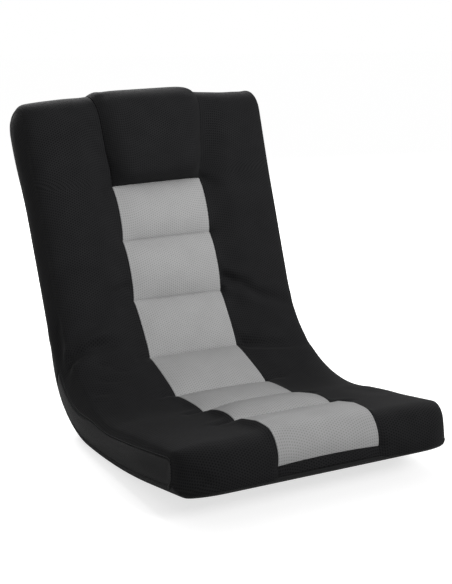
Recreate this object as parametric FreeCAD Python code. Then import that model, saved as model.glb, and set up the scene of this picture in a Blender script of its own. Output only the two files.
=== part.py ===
import FreeCAD, Part
import math
import os
from FreeCAD import Vector

# A low floor chair: a padded seat on a rocker base and a padded back on ratchet hinges.
# Millimetres. +Z is up, the sitter looks along -Y, +X is the sitter's left.
# The origin is on the floor, where the rocker rests. A bearing is an angle in the side
# view (Y to the right, Z up), counted from +Y towards +Z.

# Side outline, at the crown of the cushions
seat_reach = 438.0
nose_top_height = 141.0
nose_thickness = 82.0
seat_fall_angle = 9.2
sole_rise_angle = 10.12
rocker_start = 15.0
heel_reach = 128.5
heel_radius = 170.0
back_length = 630.0
back_rear_lean = 25.0
back_front_lean = 22.0
back_top_thickness = 140.0
bend_radius = 250.0
front_top_radius = 65.0
rear_top_radius = 45.0
nose_top_radius = 44.0
nose_bottom_radius = 34.0
least_radius = 8.0
rest_flat_depth = 0.5

# Across the chair
overall_width = 510.0
panel_width = 190.0
front_edge_round = 38.0
rear_edge_round = 20.0
nose_plan_round = 75.0
round_station_shares = (1.0, 0.35, 0.0)
seam_pinch = 18.0
seam_pinch_width = 55.0
pinch_station_shares = (0.0, 0.25, 1.0)
pinch_depth_shares = (1.0, 0.3, 0.0)

# Layers, from the rear or the bottom towards the sitter
cover_thickness = 12.0
soft_gap = 0.3
core_depth = 60.0
back_core_depth = 82.0
back_core_step = 7.0
core_front_margin = 25.0
core_top_margin = 30.0
core_side_margin = 12.0
side_band_height = 57.0
side_band_thickness = 12.0
side_band_setback = 62.0
front_band_depth = 50.0
front_band_height = 25.0
seat_split_reach = 61.0
beyond = 2000.0
sliver_volume = 1.0

# Ribbed centre panel and headrest
headrest_length = 190.0
seat_rib_length = 115.0
front_rib_length = 208.0
front_seam_setback = 20.3
back_rib_count = 4
rib_rise = 20.0
front_rib_rise = 12.0
seam_depths = (33.0, 28.0, 24.0, 24.0, 10.0, 6.0, 2.0, 3.0)
panel_root = 60.0
headrest_proud = 20.0
headrest_top_proud = 10.0
headrest_lower_radius = 28.0
headrest_top_radius = 60.0
headrest_pinch = 14.0
headrest_flat_share = 0.7

# Steel frames, of square tube and square bar
tube_half = 9.5
tube_wall = 1.2
leg_inset = 55.0
frame_corner_radius = 60.0
knee_reach = 30.0
knee_radius = 80.0
back_spine_depth = 43.0
back_knee_distance = 150.0
back_knee_radius = 60.0
front_bar_setback = 46.0
top_bar_setback = 48.0
tube_start = 34.0
weld_gap = 0.3
cross_tube_half = 8.0
cross_tube_wall = 1.2
seat_cross_distances = (165.0, 320.0)
back_cross_distances = (210.0, 400.0)
rail_half = 6.5
rail_offset = 110.0

# Plywood board on the seat frame, and webbing looped round the legs of the back frame
board_thickness = 12.0
strap_thickness = 1.5
strap_fit = 0.5
strap_width = 42.0
strap_distances = (255.0, 315.0, 450.0, 510.0)

# Ratchet hinge
hinge_depth = 45.0
hinge_bearing = 46.0
ratchet_thickness = 4.0
cheek_thickness = 2.0
cheek_gap = 0.3
cheek_radius = 28.0
tooth_root_radius = 22.0
tooth_depth = 2.6
tooth_pitch_angle = 7.5
recline_back_angle = 60.0
recline_front_angle = 30.0
nose_bearing = 185.0
pivot_radius = 5.0
pivot_fit = 0.05
rivet_head_radius = 8.0
rivet_head_thickness = 2.0
pawl_pin_radius = 3.0
pawl_pin_distance = 34.5
pawl_pin_bearing = 134.0
pawl_eye_radius = 7.0
pawl_face_gap = 0.3
pawl_back_width = 7.0
lug_half = 2.5
lug_distance = 46.0
lug_bearing = 189.0
lobe_margin = 5.0
tail_insert = 36.0
tail_fit = 0.3
leaf_thickness = 0.8
leaf_width = 3.4
pocket_half_width = 13.0
leg_clearance = 1.6
pad_clearance = 4.0

# Walls between the seat, the bend and the back, as bearings seen from the pivot. The wall in
# front of the back runs through a seam.
back_rear_wall = 0.0
base_cover_wall = -70.0
wall_seam_index = 2

half_width = overall_width / 2
half_panel = panel_width / 2
leg_offset = half_width - leg_inset
core_half_width = leg_offset + core_side_margin
spine_depth = cover_thickness + soft_gap + tube_half
board_depth = spine_depth + tube_half + soft_gap
seat_foam_depth = board_depth + board_thickness + soft_gap
back_foam_depth = back_spine_depth + tube_half + strap_fit + strap_thickness + soft_gap
hinge_pocket_radius = lug_distance + lug_half + lobe_margin + leg_clearance
hinge_clear_radius = tube_start + leg_clearance
level = Vector(0, 1, 0)
across = Vector(1, 0, 0)


def side(y, z):
    """A point or a direction in the side view."""
    return Vector(0, y, z)


def toward(bearing):
    """The unit direction of a bearing."""
    angle = math.radians(bearing)
    return side(math.cos(angle), math.sin(angle))


def left_of(direction):
    """The direction turned a quarter turn towards +Z from +Y."""
    return side(-direction.z, direction.y)


def crossing(point, direction, other_point, other_direction):
    """Where two lines of the side view meet."""
    normal = left_of(other_direction)
    step = (other_point - point).dot(normal) / direction.dot(normal)
    return point + direction * step


def tangent_arc(before, corner, after, radius):
    """Start, middle and end of the arc that rounds a corner."""
    to_before = (before - corner).normalize()
    to_after = (after - corner).normalize()
    half = to_before.getAngle(to_after) / 2
    reach = radius / math.tan(half)
    bisector = (to_before + to_after).normalize()
    middle = corner + bisector * (radius / math.sin(half) - radius)
    return corner + to_before * reach, middle, corner + to_after * reach


def rounded_edges(corners, radii, closed=True):
    """Lines and tangent arcs along the corners, in order."""
    count = len(corners)
    pieces = []
    for index in range(count):
        rounded = radii[index] > 0 and (closed or 0 < index < count - 1)
        if rounded:
            after = corners[(index + 1) % count]
            pieces.append(tangent_arc(corners[index - 1], corners[index], after, radii[index]))
        else:
            pieces.append((corners[index],))
    edges = []
    for index in range(count):
        piece = pieces[index]
        if len(piece) == 3:
            edges.append(Part.Arc(piece[0], piece[1], piece[2]).toShape())
        if index < count - 1 or closed:
            following = pieces[(index + 1) % count]
            edges.append(Part.makeLine(piece[-1], following[0]))
    return edges


def edges_at(x, edges):
    """Side-view edges, moved across the chair."""
    return [edge.translated(across * x) for edge in edges]


def face_at(x, edges):
    return Part.Face(Part.Wire(edges_at(x, edges)))


def side_prism(corners, radii, low_x, high_x):
    """A rounded side-view outline, extruded across the chair."""
    face = face_at(low_x, rounded_edges(corners, radii))
    return face.extrude(across * (high_x - low_x))


def sharp_prism(corners, low_x, high_x):
    return side_prism(corners, [0] * len(corners), low_x, high_x)


def ruled_form(sections):
    """A closed form through sections with matching edges, straight from each to the next."""
    faces = [Part.Face(Part.Wire(sections[0])), Part.Face(Part.Wire(sections[-1]))]
    for near, far in zip(sections[:-1], sections[1:]):
        for pair in zip(near, far):
            faces += Part.makeLoft([Part.Wire(edge) for edge in pair], False, True).Faces
    shell = Part.makeShell(faces)
    shell.sewShape()
    return Part.makeSolid(shell)


def mirrored(shape):
    """The same piece on the other side of the chair."""
    return shape.mirror(Vector(0, 0, 0), across)


def both_sides(shape):
    return Part.makeCompound([shape, mirrored(shape)])


def only_solids(shape):
    """The solids of a boolean result, as one solid or a compound."""
    solids = [solid for solid in shape.Solids if solid.Volume > sliver_volume]
    return solids[0] if len(solids) == 1 else Part.makeCompound(solids)


# Side outline

rear_direction = toward(90 - back_rear_lean)
front_direction = toward(90 - back_front_lean)
seat_direction = toward(180 - seat_fall_angle)


def outline_corners():
    """The corners of the crown outline, from the heel round to the rocker."""
    heel = side(heel_reach, 0)
    rear_top = heel + rear_direction * back_length
    front_top = rear_top + left_of(rear_direction) * back_top_thickness
    nose_top = side(-seat_reach, nose_top_height)
    nose_bottom = nose_top + left_of(seat_direction) * nose_thickness
    bend = crossing(front_top, front_direction, nose_top, seat_direction)
    rocker = crossing(nose_bottom, toward(-sole_rise_angle), heel, level)
    return [heel, rear_top, front_top, bend, nose_top, nose_bottom, rocker]


crown_corners = outline_corners()
rocker_radius = ((rocker_start - crown_corners[-1].y)
                 / math.tan(math.radians(sole_rise_angle) / 2))
crown_radii = [heel_radius, rear_top_radius, front_top_radius, bend_radius, nose_top_radius,
               nose_bottom_radius, rocker_radius]
bend_index = 3


def inset_outline(rear, front, nose):
    """The crown outline with its sides moved inwards, and the radii that go with them."""
    insets = [rear, front, front, front, nose, rear, rear]
    count = len(crown_corners)
    lines = []
    for index in range(count):
        start = crown_corners[index]
        along = (crown_corners[(index + 1) % count] - start).normalize()
        lines.append((start + left_of(along) * insets[index], along))
    corners = []
    radii = []
    for index in range(count):
        corners.append(crossing(*lines[index - 1], *lines[index]))
        inset = (insets[index - 1] + insets[index]) / 2
        change = inset if index == bend_index else -inset
        radii.append(max(crown_radii[index] + change, least_radius))
    return corners, radii


def round_inset(distance, radius):
    """How far a rounded edge has fallen away at a distance from the side face."""
    rest = max(radius - distance, 0)
    return radius - math.sqrt(radius * radius - rest * rest)


def outline_section(x):
    """The outline near the side of the chair, rounded off towards the side face."""
    distance = half_width - x
    rear = round_inset(distance, rear_edge_round)
    front = round_inset(distance, front_edge_round)
    nose = round_inset(distance, nose_plan_round)
    return edges_at(x, rounded_edges(*inset_outline(rear, front, nose)))


def side_sections():
    return [outline_section(half_width - share * nose_plan_round)
            for share in round_station_shares]


def hull_solid():
    """The whole chair as one form, with no seams."""
    inner = half_width - nose_plan_round
    middle = side_prism(*inset_outline(0, 0, 0), -inner, inner)
    edge = ruled_form(side_sections())
    return middle.fuse([edge, mirrored(edge)])


def bolster_form():
    """One side of the chair, pinched at the seam with the centre panel."""
    sections = []
    for share, depth_share in zip(pinch_station_shares, pinch_depth_shares):
        pinch = seam_pinch * depth_share
        x = half_panel + soft_gap + seam_pinch_width * share
        sections.append(edges_at(x, rounded_edges(*inset_outline(0, pinch, pinch))))
    return ruled_form(sections + side_sections())


# Crown line and seams

def place_on(edges, station):
    """The point and the direction at a length along a route, or straight on past its end."""
    remaining = station
    for edge in edges[:-1]:
        if remaining <= edge.Length:
            break
        remaining -= edge.Length
    else:
        edge = edges[-1]
    reach = min(remaining, edge.Length)
    parameter = edge.getParameterByLength(reach)
    along = edge.tangentAt(parameter).normalize()
    return edge.valueAt(parameter) + along * (remaining - reach), along


def crown_route():
    """The crown line from the top of the back round to the front edge."""
    corners, radii = inset_outline(0, 0, 0)
    return rounded_edges(corners[2:6], [0] + radii[3:5] + [0], closed=False)


crown_edges = crown_route()


def crown_point(station, depth):
    """A point below the crown line, at a length from the top of the back."""
    point, along = place_on(crown_edges, station)
    return point + left_of(along) * depth


def seam_places():
    """The seat's seams, set back from the front edge, and the back's, which share the rest."""
    front_seam = sum(edge.Length for edge in crown_edges) - front_seam_setback
    front_rib = front_seam - front_rib_length
    first_of_seat = front_rib - 2 * seat_rib_length
    back_rib_length = (first_of_seat - headrest_length) / back_rib_count
    back_seams = [headrest_length + count * back_rib_length for count in range(back_rib_count)]
    return back_seams + [first_of_seat, front_rib - seat_rib_length, front_rib, front_seam]


seam_stations = seam_places()


def seam_point(index):
    return crown_point(seam_stations[index], seam_depths[index])


# Zones that divide the chair

heel_centre_height = heel_radius
heel_centre_y = heel_reach - heel_radius * math.tan(math.radians(90 - back_rear_lean) / 2)
pivot = (side(heel_centre_y, heel_centre_height)
         + toward(-hinge_bearing) * (heel_radius - hinge_depth))
wall_run = seam_point(wall_seam_index) - pivot
back_front_wall = math.degrees(math.atan2(wall_run.z, wall_run.y))


def in_front_of(depth, half_span):
    """Everything further in than a depth below the rear and the bottom surfaces."""
    corners, radii = inset_outline(depth, 0, 0)
    heel, rear_top = corners[:2]
    nose_bottom, rocker = corners[-2:]
    top = heel + (rear_top - heel).normalize() * beyond
    front = rocker + (nose_bottom - rocker).normalize() * beyond
    return side_prism([heel, top, front + side(0, beyond), front, rocker],
                      [radii[0], 0, 0, 0, radii[-1]], -half_span, half_span)


def wedge(start, end, setback, half_span=half_width):
    """A wedge at the pivot between two bearings, its walls set back."""
    half = math.radians(end - start) / 2
    apex = pivot + toward((start + end) / 2) * (setback / math.sin(half))
    corners = [apex, apex + toward(start) * beyond, apex + toward(end) * beyond]
    return sharp_prism(corners, -half_span, half_span)


def side_box(low_y, high_y, low_z, high_z, low_x, high_x):
    corners = [side(low_y, low_z), side(high_y, low_z), side(high_y, high_z), side(low_y, high_z)]
    return sharp_prism(corners, low_x, high_x)


def core_block(growth):
    """The space of the frames and the foam cores, between the rear cover and the front pads."""
    half_span = core_half_width + growth
    block = in_front_of(cover_thickness, half_span)
    block = block.cut(in_front_of(core_depth + growth, beyond))
    inward = left_of(rear_direction)
    wall_end = crossing(crown_corners[0] + inward * back_core_depth, rear_direction,
                        pivot, wall_run)
    start = wall_end - inward * back_core_depth + rear_direction * (back_core_step - growth)
    slab = [start + inward * cover_thickness, start + inward * (back_core_depth + growth)]
    slab = slab + [corner + rear_direction * back_length for corner in reversed(slab)]
    block = block.fuse(sharp_prism(slab, -half_span, half_span)).removeSplitter()
    front_end = -seat_reach + core_front_margin - growth
    block = block.common(side_box(front_end, beyond, -beyond, beyond, -beyond, beyond))
    top_end = crown_corners[1] - rear_direction * (core_top_margin - growth)
    low_rear = top_end - left_of(rear_direction) * beyond
    low_front = top_end + left_of(rear_direction) * beyond
    above = [low_rear, low_rear + rear_direction * beyond, low_front + rear_direction * beyond,
             low_front]
    return block.cut(sharp_prism(above, -beyond, beyond))


def bar_along(edges, half):
    """A square bar along lines and tangent arcs, from the start of the first of them."""
    start = edges[0].valueAt(edges[0].FirstParameter)
    depth = left_of(edges[0].tangentAt(edges[0].FirstParameter)) * half
    width = across * half
    corners = [start + depth + width, start + depth - width, start - depth - width,
               start - depth + width]
    section = Part.Face(Part.makePolygon(corners + corners[:1]))
    return Part.Wire(Part.__sortEdges__(edges)).makePipe(section)


# Frame routes

def back_point(distance):
    """A point on the back frame's line, at a distance up from the heel."""
    inward = left_of(rear_direction) * back_spine_depth
    return crown_corners[0] + rear_direction * distance + inward


def seat_leg_route():
    """From the hinge down to the knee, along the rocker and up to the front bar."""
    nose_bottom, rocker = inset_outline(spine_depth, 0, 0)[0][-2:]
    knee = side(knee_reach, rocker.z)
    start = pivot + (knee - pivot).normalize() * tube_start
    rise = (nose_bottom - rocker).normalize()
    reach = (seat_reach - front_bar_setback - frame_corner_radius + rocker.y) / -rise.y
    return [start, knee, rocker, rocker + rise * reach], [0, knee_radius,
                                                          rocker_radius - spine_depth, 0]


def back_leg_route():
    """From the hinge out to the rear plane and up to the top bar."""
    knee = back_point(back_knee_distance)
    start = pivot + (knee - pivot).normalize() * tube_start
    end = back_point(back_length - top_bar_setback - frame_corner_radius)
    return [start, knee, end], [0, back_knee_radius, 0]


def bent_frame(route, half):
    """A bar up one leg, across at a radius and down the other leg."""
    corners, radii = route
    leg = rounded_edges(corners, radii, closed=False)
    end = corners[-1]
    along = (corners[-1] - corners[-2]).normalize()
    tip = end + along * frame_corner_radius
    inner_x = leg_offset - frame_corner_radius
    swing = frame_corner_radius * math.sqrt(0.5)
    middle = end + along * swing + across * (inner_x + swing)
    bend = Part.Arc(end + across * leg_offset, middle, tip + across * inner_x).toShape()
    first = [edge.translated(across * leg_offset) for edge in leg] + [bend]
    bar = Part.makeLine(tip + across * inner_x, tip - across * inner_x)
    return bar_along(first + [bar] + [mirrored(edge) for edge in reversed(first)], half)


def tube_frame(route):
    return bent_frame(route, tube_half).cut(bent_frame(route, tube_half - tube_wall))


def cross_bar(centre, along, half):
    """A straight square bar from leg to leg, set square to the frame's line."""
    reach = leg_offset - tube_half - weld_gap
    start = centre - along * half
    line = Part.makeLine(start, centre + along * half)
    return bar_block(line, half, reach)


def bar_block(line, depth_half, width_half):
    """A block along a line of the side view."""
    along = (line.Vertexes[1].Point - line.Vertexes[0].Point).normalize()
    depth = left_of(along) * depth_half
    corners = [line.Vertexes[0].Point - depth, line.Vertexes[1].Point - depth,
               line.Vertexes[1].Point + depth, line.Vertexes[0].Point + depth]
    return sharp_prism(corners, -width_half, width_half)


def cross_tube(centre, along):
    bore = cross_bar(centre, along, cross_tube_half - cross_tube_wall)
    return cross_bar(centre, along, cross_tube_half).cut(bore)


def seat_point(station):
    """A point on the seat frame's line and its direction, from the hinge forwards."""
    return place_on(rounded_edges(*seat_leg_route(), closed=False), station)


def seat_cross_tubes():
    return Part.makeCompound([cross_tube(*seat_point(station))
                              for station in seat_cross_distances])


def back_cross_tubes():
    return Part.makeCompound([cross_tube(back_point(distance), rear_direction)
                              for distance in back_cross_distances])


def route_between(edges, start, end):
    """The stretch of a route between two lengths along it."""
    stretch = []
    passed = 0
    for edge in edges:
        low = max(start - passed, 0)
        high = min(end - passed, edge.Length)
        if low < high:
            stretch.append(edge.Curve.toShape(edge.getParameterByLength(low),
                                              edge.getParameterByLength(high)))
        passed += edge.Length
    return stretch


def rocker_rails(half):
    """Bars from the rear cross tube to the front cross tube, and on to the front bar."""
    edges = rounded_edges(*seat_leg_route(), closed=False)
    tip, along = place_on(edges, sum(edge.Length for edge in edges))
    edges.append(Part.makeLine(tip, tip + along * frame_corner_radius))
    rear, front = seat_cross_distances
    clear = cross_tube_half + weld_gap
    end = sum(edge.Length for edge in edges) - tube_half - weld_gap
    rails = [bar_along(route_between(edges, *stretch), half).translated(across * rail_offset)
             for stretch in ((rear + clear, front - clear), (front + clear, end))]
    return Part.makeCompound(rails + [mirrored(piece) for piece in rails])


def strap_loop(centre, along):
    """Elastic webbing looped round both legs, centred on a point of the frame's line."""
    half = along * (strap_width / 2)
    line = Part.makeLine(centre - half, centre + half)
    inner = tube_half + strap_fit
    outer = inner + strap_thickness
    loop = bar_block(line, outer, leg_offset + outer)
    return loop.cut(bar_block(line, inner, leg_offset + inner))


def back_webbing():
    return Part.makeCompound([strap_loop(back_point(distance), rear_direction)
                              for distance in strap_distances])


# Hinge pieces, in the side view and then across

def disc(centre, radius):
    return Part.Face(Part.Wire(Part.makeCircle(radius, centre, across)))


def bar_face(start, end, start_half, end_half):
    """A flat bar between two points of the side view."""
    normal = left_of((end - start).normalize())
    corners = [start + normal * start_half, end + normal * end_half,
               end - normal * end_half, start - normal * start_half]
    return Part.Face(Part.makePolygon(corners + corners[:1]))


def plate(faces, holes, low_x, thickness):
    """A flat plate of joined faces with round holes."""
    solid = faces[0].extrude(across * thickness)
    solid = solid.fuse([face.extrude(across * thickness) for face in faces[1:]])
    for hole in holes:
        solid = solid.cut(hole.extrude(across * thickness))
    return solid.removeSplitter().translated(across * low_x)


pawl_pivot = pivot + toward(pawl_pin_bearing) * pawl_pin_distance
lug_centre = pivot + toward(lug_bearing) * lug_distance
cheek_reach = ratchet_thickness / 2 + cheek_gap + cheek_thickness


def arm_tail(knee):
    """A tail from the pivot into the bore of a frame leg."""
    along = (knee - pivot).normalize()
    half = tube_half - tube_wall - tail_fit
    return bar_face(pivot, pivot + along * (tube_start + tail_insert), half, half)


def hinge_cheeks():
    """The two cheek plates of one hinge, with a bent lug between them for the pawl spring."""
    inner_face = cheek_reach - cheek_thickness
    pawl_lobe = pawl_pin_radius + lobe_margin
    lug_lobe = lug_half + lobe_margin
    pawl_end = pivot + toward(pawl_pin_bearing) * (pawl_pin_distance + pawl_lobe)
    lug_end = pivot + toward(lug_bearing) * (lug_distance + lug_half)
    faces = [disc(pivot, cheek_radius),
             bar_face(pivot, pawl_end, cheek_radius - lobe_margin, pawl_lobe),
             bar_face(pivot, lug_end, lug_lobe, lug_half),
             arm_tail(seat_leg_route()[0][1])]
    holes = [disc(pivot, pivot_radius + pivot_fit), disc(pawl_pivot, pawl_pin_radius + pivot_fit)]
    inner, outer = [plate(faces, holes, low, cheek_thickness)
                    for low in (-cheek_reach, inner_face)]
    lug_run = toward(lug_bearing) * lug_half
    lug = bar_face(lug_centre - lug_run, lug_centre + lug_run, lug_half, lug_half)
    lug = lug.extrude(across * (2 * inner_face - cheek_gap))
    outer = outer.fuse(lug.translated(across * (cheek_gap - inner_face))).removeSplitter()
    return Part.makeCompound([inner, outer])


def ratchet_plate():
    """The toothed plate on the back frame, with one tooth face for each position."""
    steps = round((recline_back_angle + recline_front_angle) / tooth_pitch_angle) + 1
    tip_radius = tooth_root_radius + tooth_depth
    first = nose_bearing - recline_front_angle
    corners = []
    for step in range(steps):
        bearing = first + step * tooth_pitch_angle
        corners.append(pivot + toward(bearing) * tooth_root_radius)
        corners.append(pivot + toward(bearing) * tip_radius)
    last = first + steps * tooth_pitch_angle
    corners.append(pivot + toward(last) * tooth_root_radius)
    teeth = Part.Face(Part.makePolygon([pivot] + corners + [pivot]))
    faces = [disc(pivot, tooth_root_radius), teeth, arm_tail(back_leg_route()[0][1])]
    return plate(faces, [disc(pivot, pivot_radius + pivot_fit)], -ratchet_thickness / 2,
                 ratchet_thickness)


def pawl():
    """The catch that drops behind a tooth face and holds the back."""
    tip_radius = tooth_root_radius + tooth_depth
    arc_gap = math.degrees(pawl_face_gap / tooth_root_radius)
    face = nose_bearing - arc_gap
    ramp_end = nose_bearing - tooth_pitch_angle + 2 * arc_gap
    ramp = tooth_depth / (tooth_root_radius * math.radians(tooth_pitch_angle))
    nose_gap = pawl_face_gap * (ramp + math.hypot(1, ramp))
    belly = (ramp_end - pawl_pin_bearing) / 2
    belly_radius = (tip_radius + pawl_face_gap) / math.cos(math.radians(belly))
    corners = [
        pivot + toward(face) * (tooth_root_radius + nose_gap),
        pivot + toward(ramp_end) * (tip_radius + pawl_face_gap),
        pivot + toward(ramp_end - belly) * belly_radius,
        pawl_pivot + toward(0) * pawl_eye_radius,
        pawl_pivot + toward(180) * pawl_eye_radius,
        pivot + toward(face) * (tip_radius + pawl_back_width),
    ]
    body = Part.Face(Part.makePolygon(corners + corners[:1]))
    hole = disc(pawl_pivot, pawl_pin_radius + pivot_fit)
    return plate([body, disc(pawl_pivot, pawl_eye_radius)], [hole],
                 -ratchet_thickness / 2, ratchet_thickness)


def pin(centre, radius, reach):
    return Part.makeCylinder(radius, 2 * reach, centre - across * reach, across)


def hinge_rivet():
    """The pivot of one hinge, with a head on each side of the cheeks."""
    heads = pin(pivot, rivet_head_radius, cheek_reach + rivet_head_thickness)
    heads = heads.cut(pin(pivot, rivet_head_radius, cheek_reach))
    return heads.fuse(pin(pivot, pivot_radius, cheek_reach)).removeSplitter()


def pawl_pin():
    """The pin that the pawl swings on, flush with the cheeks."""
    return pin(pawl_pivot, pawl_pin_radius, cheek_reach)


def pawl_spring():
    """A leaf that lies on the lug of the cheek and leans on the pawl's back."""
    tip_radius = tooth_root_radius + tooth_depth
    low = pivot + toward(nose_bearing) * (tip_radius + pawl_back_width)
    shoulder = pawl_pivot + toward(180) * pawl_eye_radius
    back = (shoulder - low).normalize()
    half = leaf_thickness / 2
    contact = low + back * pawl_back_width + left_of(back) * (pawl_face_gap + half)
    to_contact = contact - lug_centre
    clear = lug_half * math.sqrt(2) + pawl_face_gap + half
    run = Vector(to_contact).normalize()
    tilt = math.asin(clear / to_contact.Length)
    along = run * math.cos(tilt) + left_of(run) * math.sin(tilt)
    foot = lug_centre - left_of(along) * clear - along * lug_half
    return plate([bar_face(foot, contact, half, half)], [], -leaf_width / 2, leaf_width)


# Soft pieces

hull = hull_solid()
bolster = bolster_form()
inside_cover = in_front_of(cover_thickness + soft_gap, beyond)
cover_limit = in_front_of(cover_thickness, beyond)
block = core_block(0)
grown_block = core_block(soft_gap)
back_wedge = wedge(back_rear_wall, back_front_wall, soft_gap / 2)
back_wedge_wide = wedge(back_rear_wall, back_front_wall, -soft_gap / 2)
seat_box = side_box(-beyond, -seat_split_reach - soft_gap / 2, -beyond, beyond,
                    -half_width, half_width)
bend_box = side_box(-seat_split_reach + soft_gap / 2, beyond, -beyond, beyond,
                    -half_width, half_width)
floor_cut = side_box(-beyond, beyond, -beyond, 0, -beyond, beyond)


def seated(shape):
    """Lowered by the depth of the rest patch and cut flat at the floor."""
    return shape.translated(side(0, -rest_flat_depth)).cut(floor_cut)


def front_band_zone(growth):
    """The low strip under the end of the centre panel, across the front."""
    low_y = -seat_reach + front_band_depth + growth
    top = crown_corners[5].z + front_band_height + growth
    return side_box(-beyond, low_y, -beyond, top, -half_width, half_width)


def side_band_zone(growth):
    """The upright strips along both sides of the rocker base."""
    low = in_front_of(side_band_height + growth, beyond)
    inner = half_width - side_band_thickness - growth
    front_end = -seat_reach + side_band_setback - growth
    strip = side_box(front_end, beyond, -beyond, beyond, inner, half_width)
    return both_sides(strip.cut(low))


def bolster_shell():
    """One bolster of the whole chair, without the cores, covers and bands."""
    shell = bolster.common(inside_cover).cut(grown_block).cut(front_band_zone(soft_gap))
    band = side_band_zone(soft_gap).cut(back_wedge_wide)
    return shell.cut(band)


shell_left = bolster_shell()


def back_bolster():
    return shell_left.common(back_wedge).cut(hinge_pocket(hinge_clear_radius))


def bend_bolster():
    pad = shell_left.common(bend_box).cut(back_wedge_wide)
    return pad.cut(hinge_pocket(hinge_pocket_radius))


def seat_bolster():
    return shell_left.common(seat_box)


def rib_arcs(index):
    """The line of one padded rib, between two seams."""
    start = seam_point(index)
    end = seam_point(index + 1)
    if index < len(seam_depths) - 2:
        out = -left_of((end - start).normalize())
        middle = (start + end) / 2 + out * rib_rise
        return [Part.Arc(start, middle, end).toShape()]
    station = seam_stations[index] + front_rib_length / 2
    top = crown_point(station, -front_rib_rise / 2)
    shoulder = crown_point((seam_stations[index] + station) / 2, -front_rib_rise)
    roll = crown_point((seam_stations[index + 1] + station) / 2, -front_rib_rise / 2)
    return [Part.Arc(start, shoulder, top).toShape(), Part.Arc(top, roll, end).toShape()]


def across_form(section, flat_x, edge_x):
    """A form of one section in the middle, drawn in towards another at both edges."""
    middle = face_at(-flat_x, section(1)).extrude(across * (2 * flat_x))
    edge = ruled_form([edges_at(flat_x, section(1)), edges_at(edge_x, section(0))])
    return middle.fuse([edge, mirrored(edge)])


def panel_form(first, last, roots):
    """Ribs from one seam to another, the full width of the panel."""
    edges = []
    for index in range(first, last):
        edges += rib_arcs(index)
    corners = [seam_point(last)] + roots + [seam_point(first)]
    for start, end in zip(corners[:-1], corners[1:]):
        edges.append(Part.makeLine(start, end))
    return face_at(-half_panel, edges).extrude(across * panel_width)


def root_point(index):
    return crown_point(seam_stations[index], panel_root + seam_depths[index])


def back_center_panel():
    form = panel_form(0, 2, [root_point(2), root_point(0)])
    return form.cut(grown_block).common(back_wedge)


def bend_center_panel():
    form = panel_form(2, 4, [root_point(4), pivot, root_point(2)])
    return form.cut(grown_block).common(bend_box).cut(back_wedge_wide)


def seat_center_panel():
    end = seam_point(7)
    inner_end = end + level * front_band_depth
    form = panel_form(4, 7, [inner_end, root_point(4)])
    return form.cut(grown_block).cut(front_band_zone(soft_gap)).common(seat_box)


def headrest_pad():
    """The roll between the bolsters, over the top of the back."""
    low = crown_point(headrest_length - soft_gap, seam_depths[0])
    lip = crown_point(headrest_length, -headrest_proud)
    rear_top = crown_corners[1] + rear_direction * headrest_top_proud
    front_top = (crown_corners[2] + rear_direction * headrest_top_proud
                 + left_of(front_direction) * headrest_proud)
    rear_low = rear_top - rear_direction * headrest_length
    root = crown_point(headrest_length - soft_gap, panel_root + seam_depths[0])
    radii = [0, 0, rear_top_radius, headrest_top_radius, headrest_lower_radius, 0]

    def section(fullness):
        pinch = headrest_pinch * (1 - fullness)
        inward = left_of(front_direction) * pinch
        down = rear_direction * pinch
        corners = [root, rear_low, rear_top - down, front_top - inward - down, lip - inward, low]
        return rounded_edges(corners, radii)

    form = across_form(section, half_panel * headrest_flat_share, half_panel)
    return form.common(inside_cover).cut(grown_block)


def hinge_pocket(radius):
    pocket = Part.makeCylinder(radius, 2 * pocket_half_width,
                               pivot + across * (leg_offset - pocket_half_width), across)
    return both_sides(pocket)


def leg_channels(route):
    edges = rounded_edges(*route, closed=False)
    channel = bar_along(edges, tube_half + leg_clearance)
    return both_sides(channel.translated(across * leg_offset))


def core(zone, depth):
    """The foam core in front of the frame, within one zone."""
    return block.common(in_front_of(depth, beyond)).common(zone)


def seat_foam():
    return core(seat_box, seat_foam_depth)


def seat_board():
    """The bent plywood board that carries the seat foam on the frame."""
    return core(seat_box, board_depth).cut(in_front_of(board_depth + board_thickness, beyond))


def base_pads():
    """Foam between the legs and bars of the seat frame, behind the base cover."""
    pad = block.common(inside_cover).cut(in_front_of(board_depth - soft_gap, beyond))
    pad = pad.cut(wedge(base_cover_wall, back_front_wall, -soft_gap / 2))
    clearance = tube_half + pad_clearance
    front = seat_reach - front_bar_setback - clearance
    half_span = leg_offset - clearance
    corners = [Vector(half_span, beyond, 0), Vector(half_span, -front, 0),
               Vector(-half_span, -front, 0), Vector(-half_span, beyond, 0)]
    round_corner = frame_corner_radius - clearance
    plan = Part.Wire(Part.__sortEdges__(rounded_edges(corners, [0, round_corner, round_corner, 0])))
    pad = pad.common(Part.Face(plan).extrude(Vector(0, 0, beyond)))
    pad = pad.cut([cross_bar(*seat_point(station), cross_tube_half + leg_clearance)
                   for station in seat_cross_distances])
    return pad.cut(rocker_rails(rail_half + leg_clearance))


def bend_foam():
    foam = core(bend_box, seat_foam_depth).cut(back_wedge_wide)
    foam = foam.cut(hinge_pocket(hinge_pocket_radius))
    return foam.cut(leg_channels(seat_leg_route()))


def back_foam():
    foam = core(back_wedge, back_foam_depth).cut(hinge_pocket(hinge_clear_radius))
    return foam.cut(leg_channels(back_leg_route()))


def back_rear_cover():
    return hull.cut(cover_limit).common(back_wedge)


def heel_cover():
    return hull.cut(cover_limit).common(wedge(base_cover_wall, back_rear_wall, soft_gap / 2))


def bend_side_band():
    band = hull.common(inside_cover).common(side_band_zone(0)).common(bend_box)
    return band.cut(back_wedge_wide)


def base_cover():
    return hull.cut(cover_limit).cut(wedge(base_cover_wall, back_front_wall, -soft_gap / 2))


def side_band():
    return hull.common(inside_cover).common(side_band_zone(0)).common(seat_box)


def front_band():
    band = hull.common(inside_cover).common(front_band_zone(0))
    return band.cut(grown_block)


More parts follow.
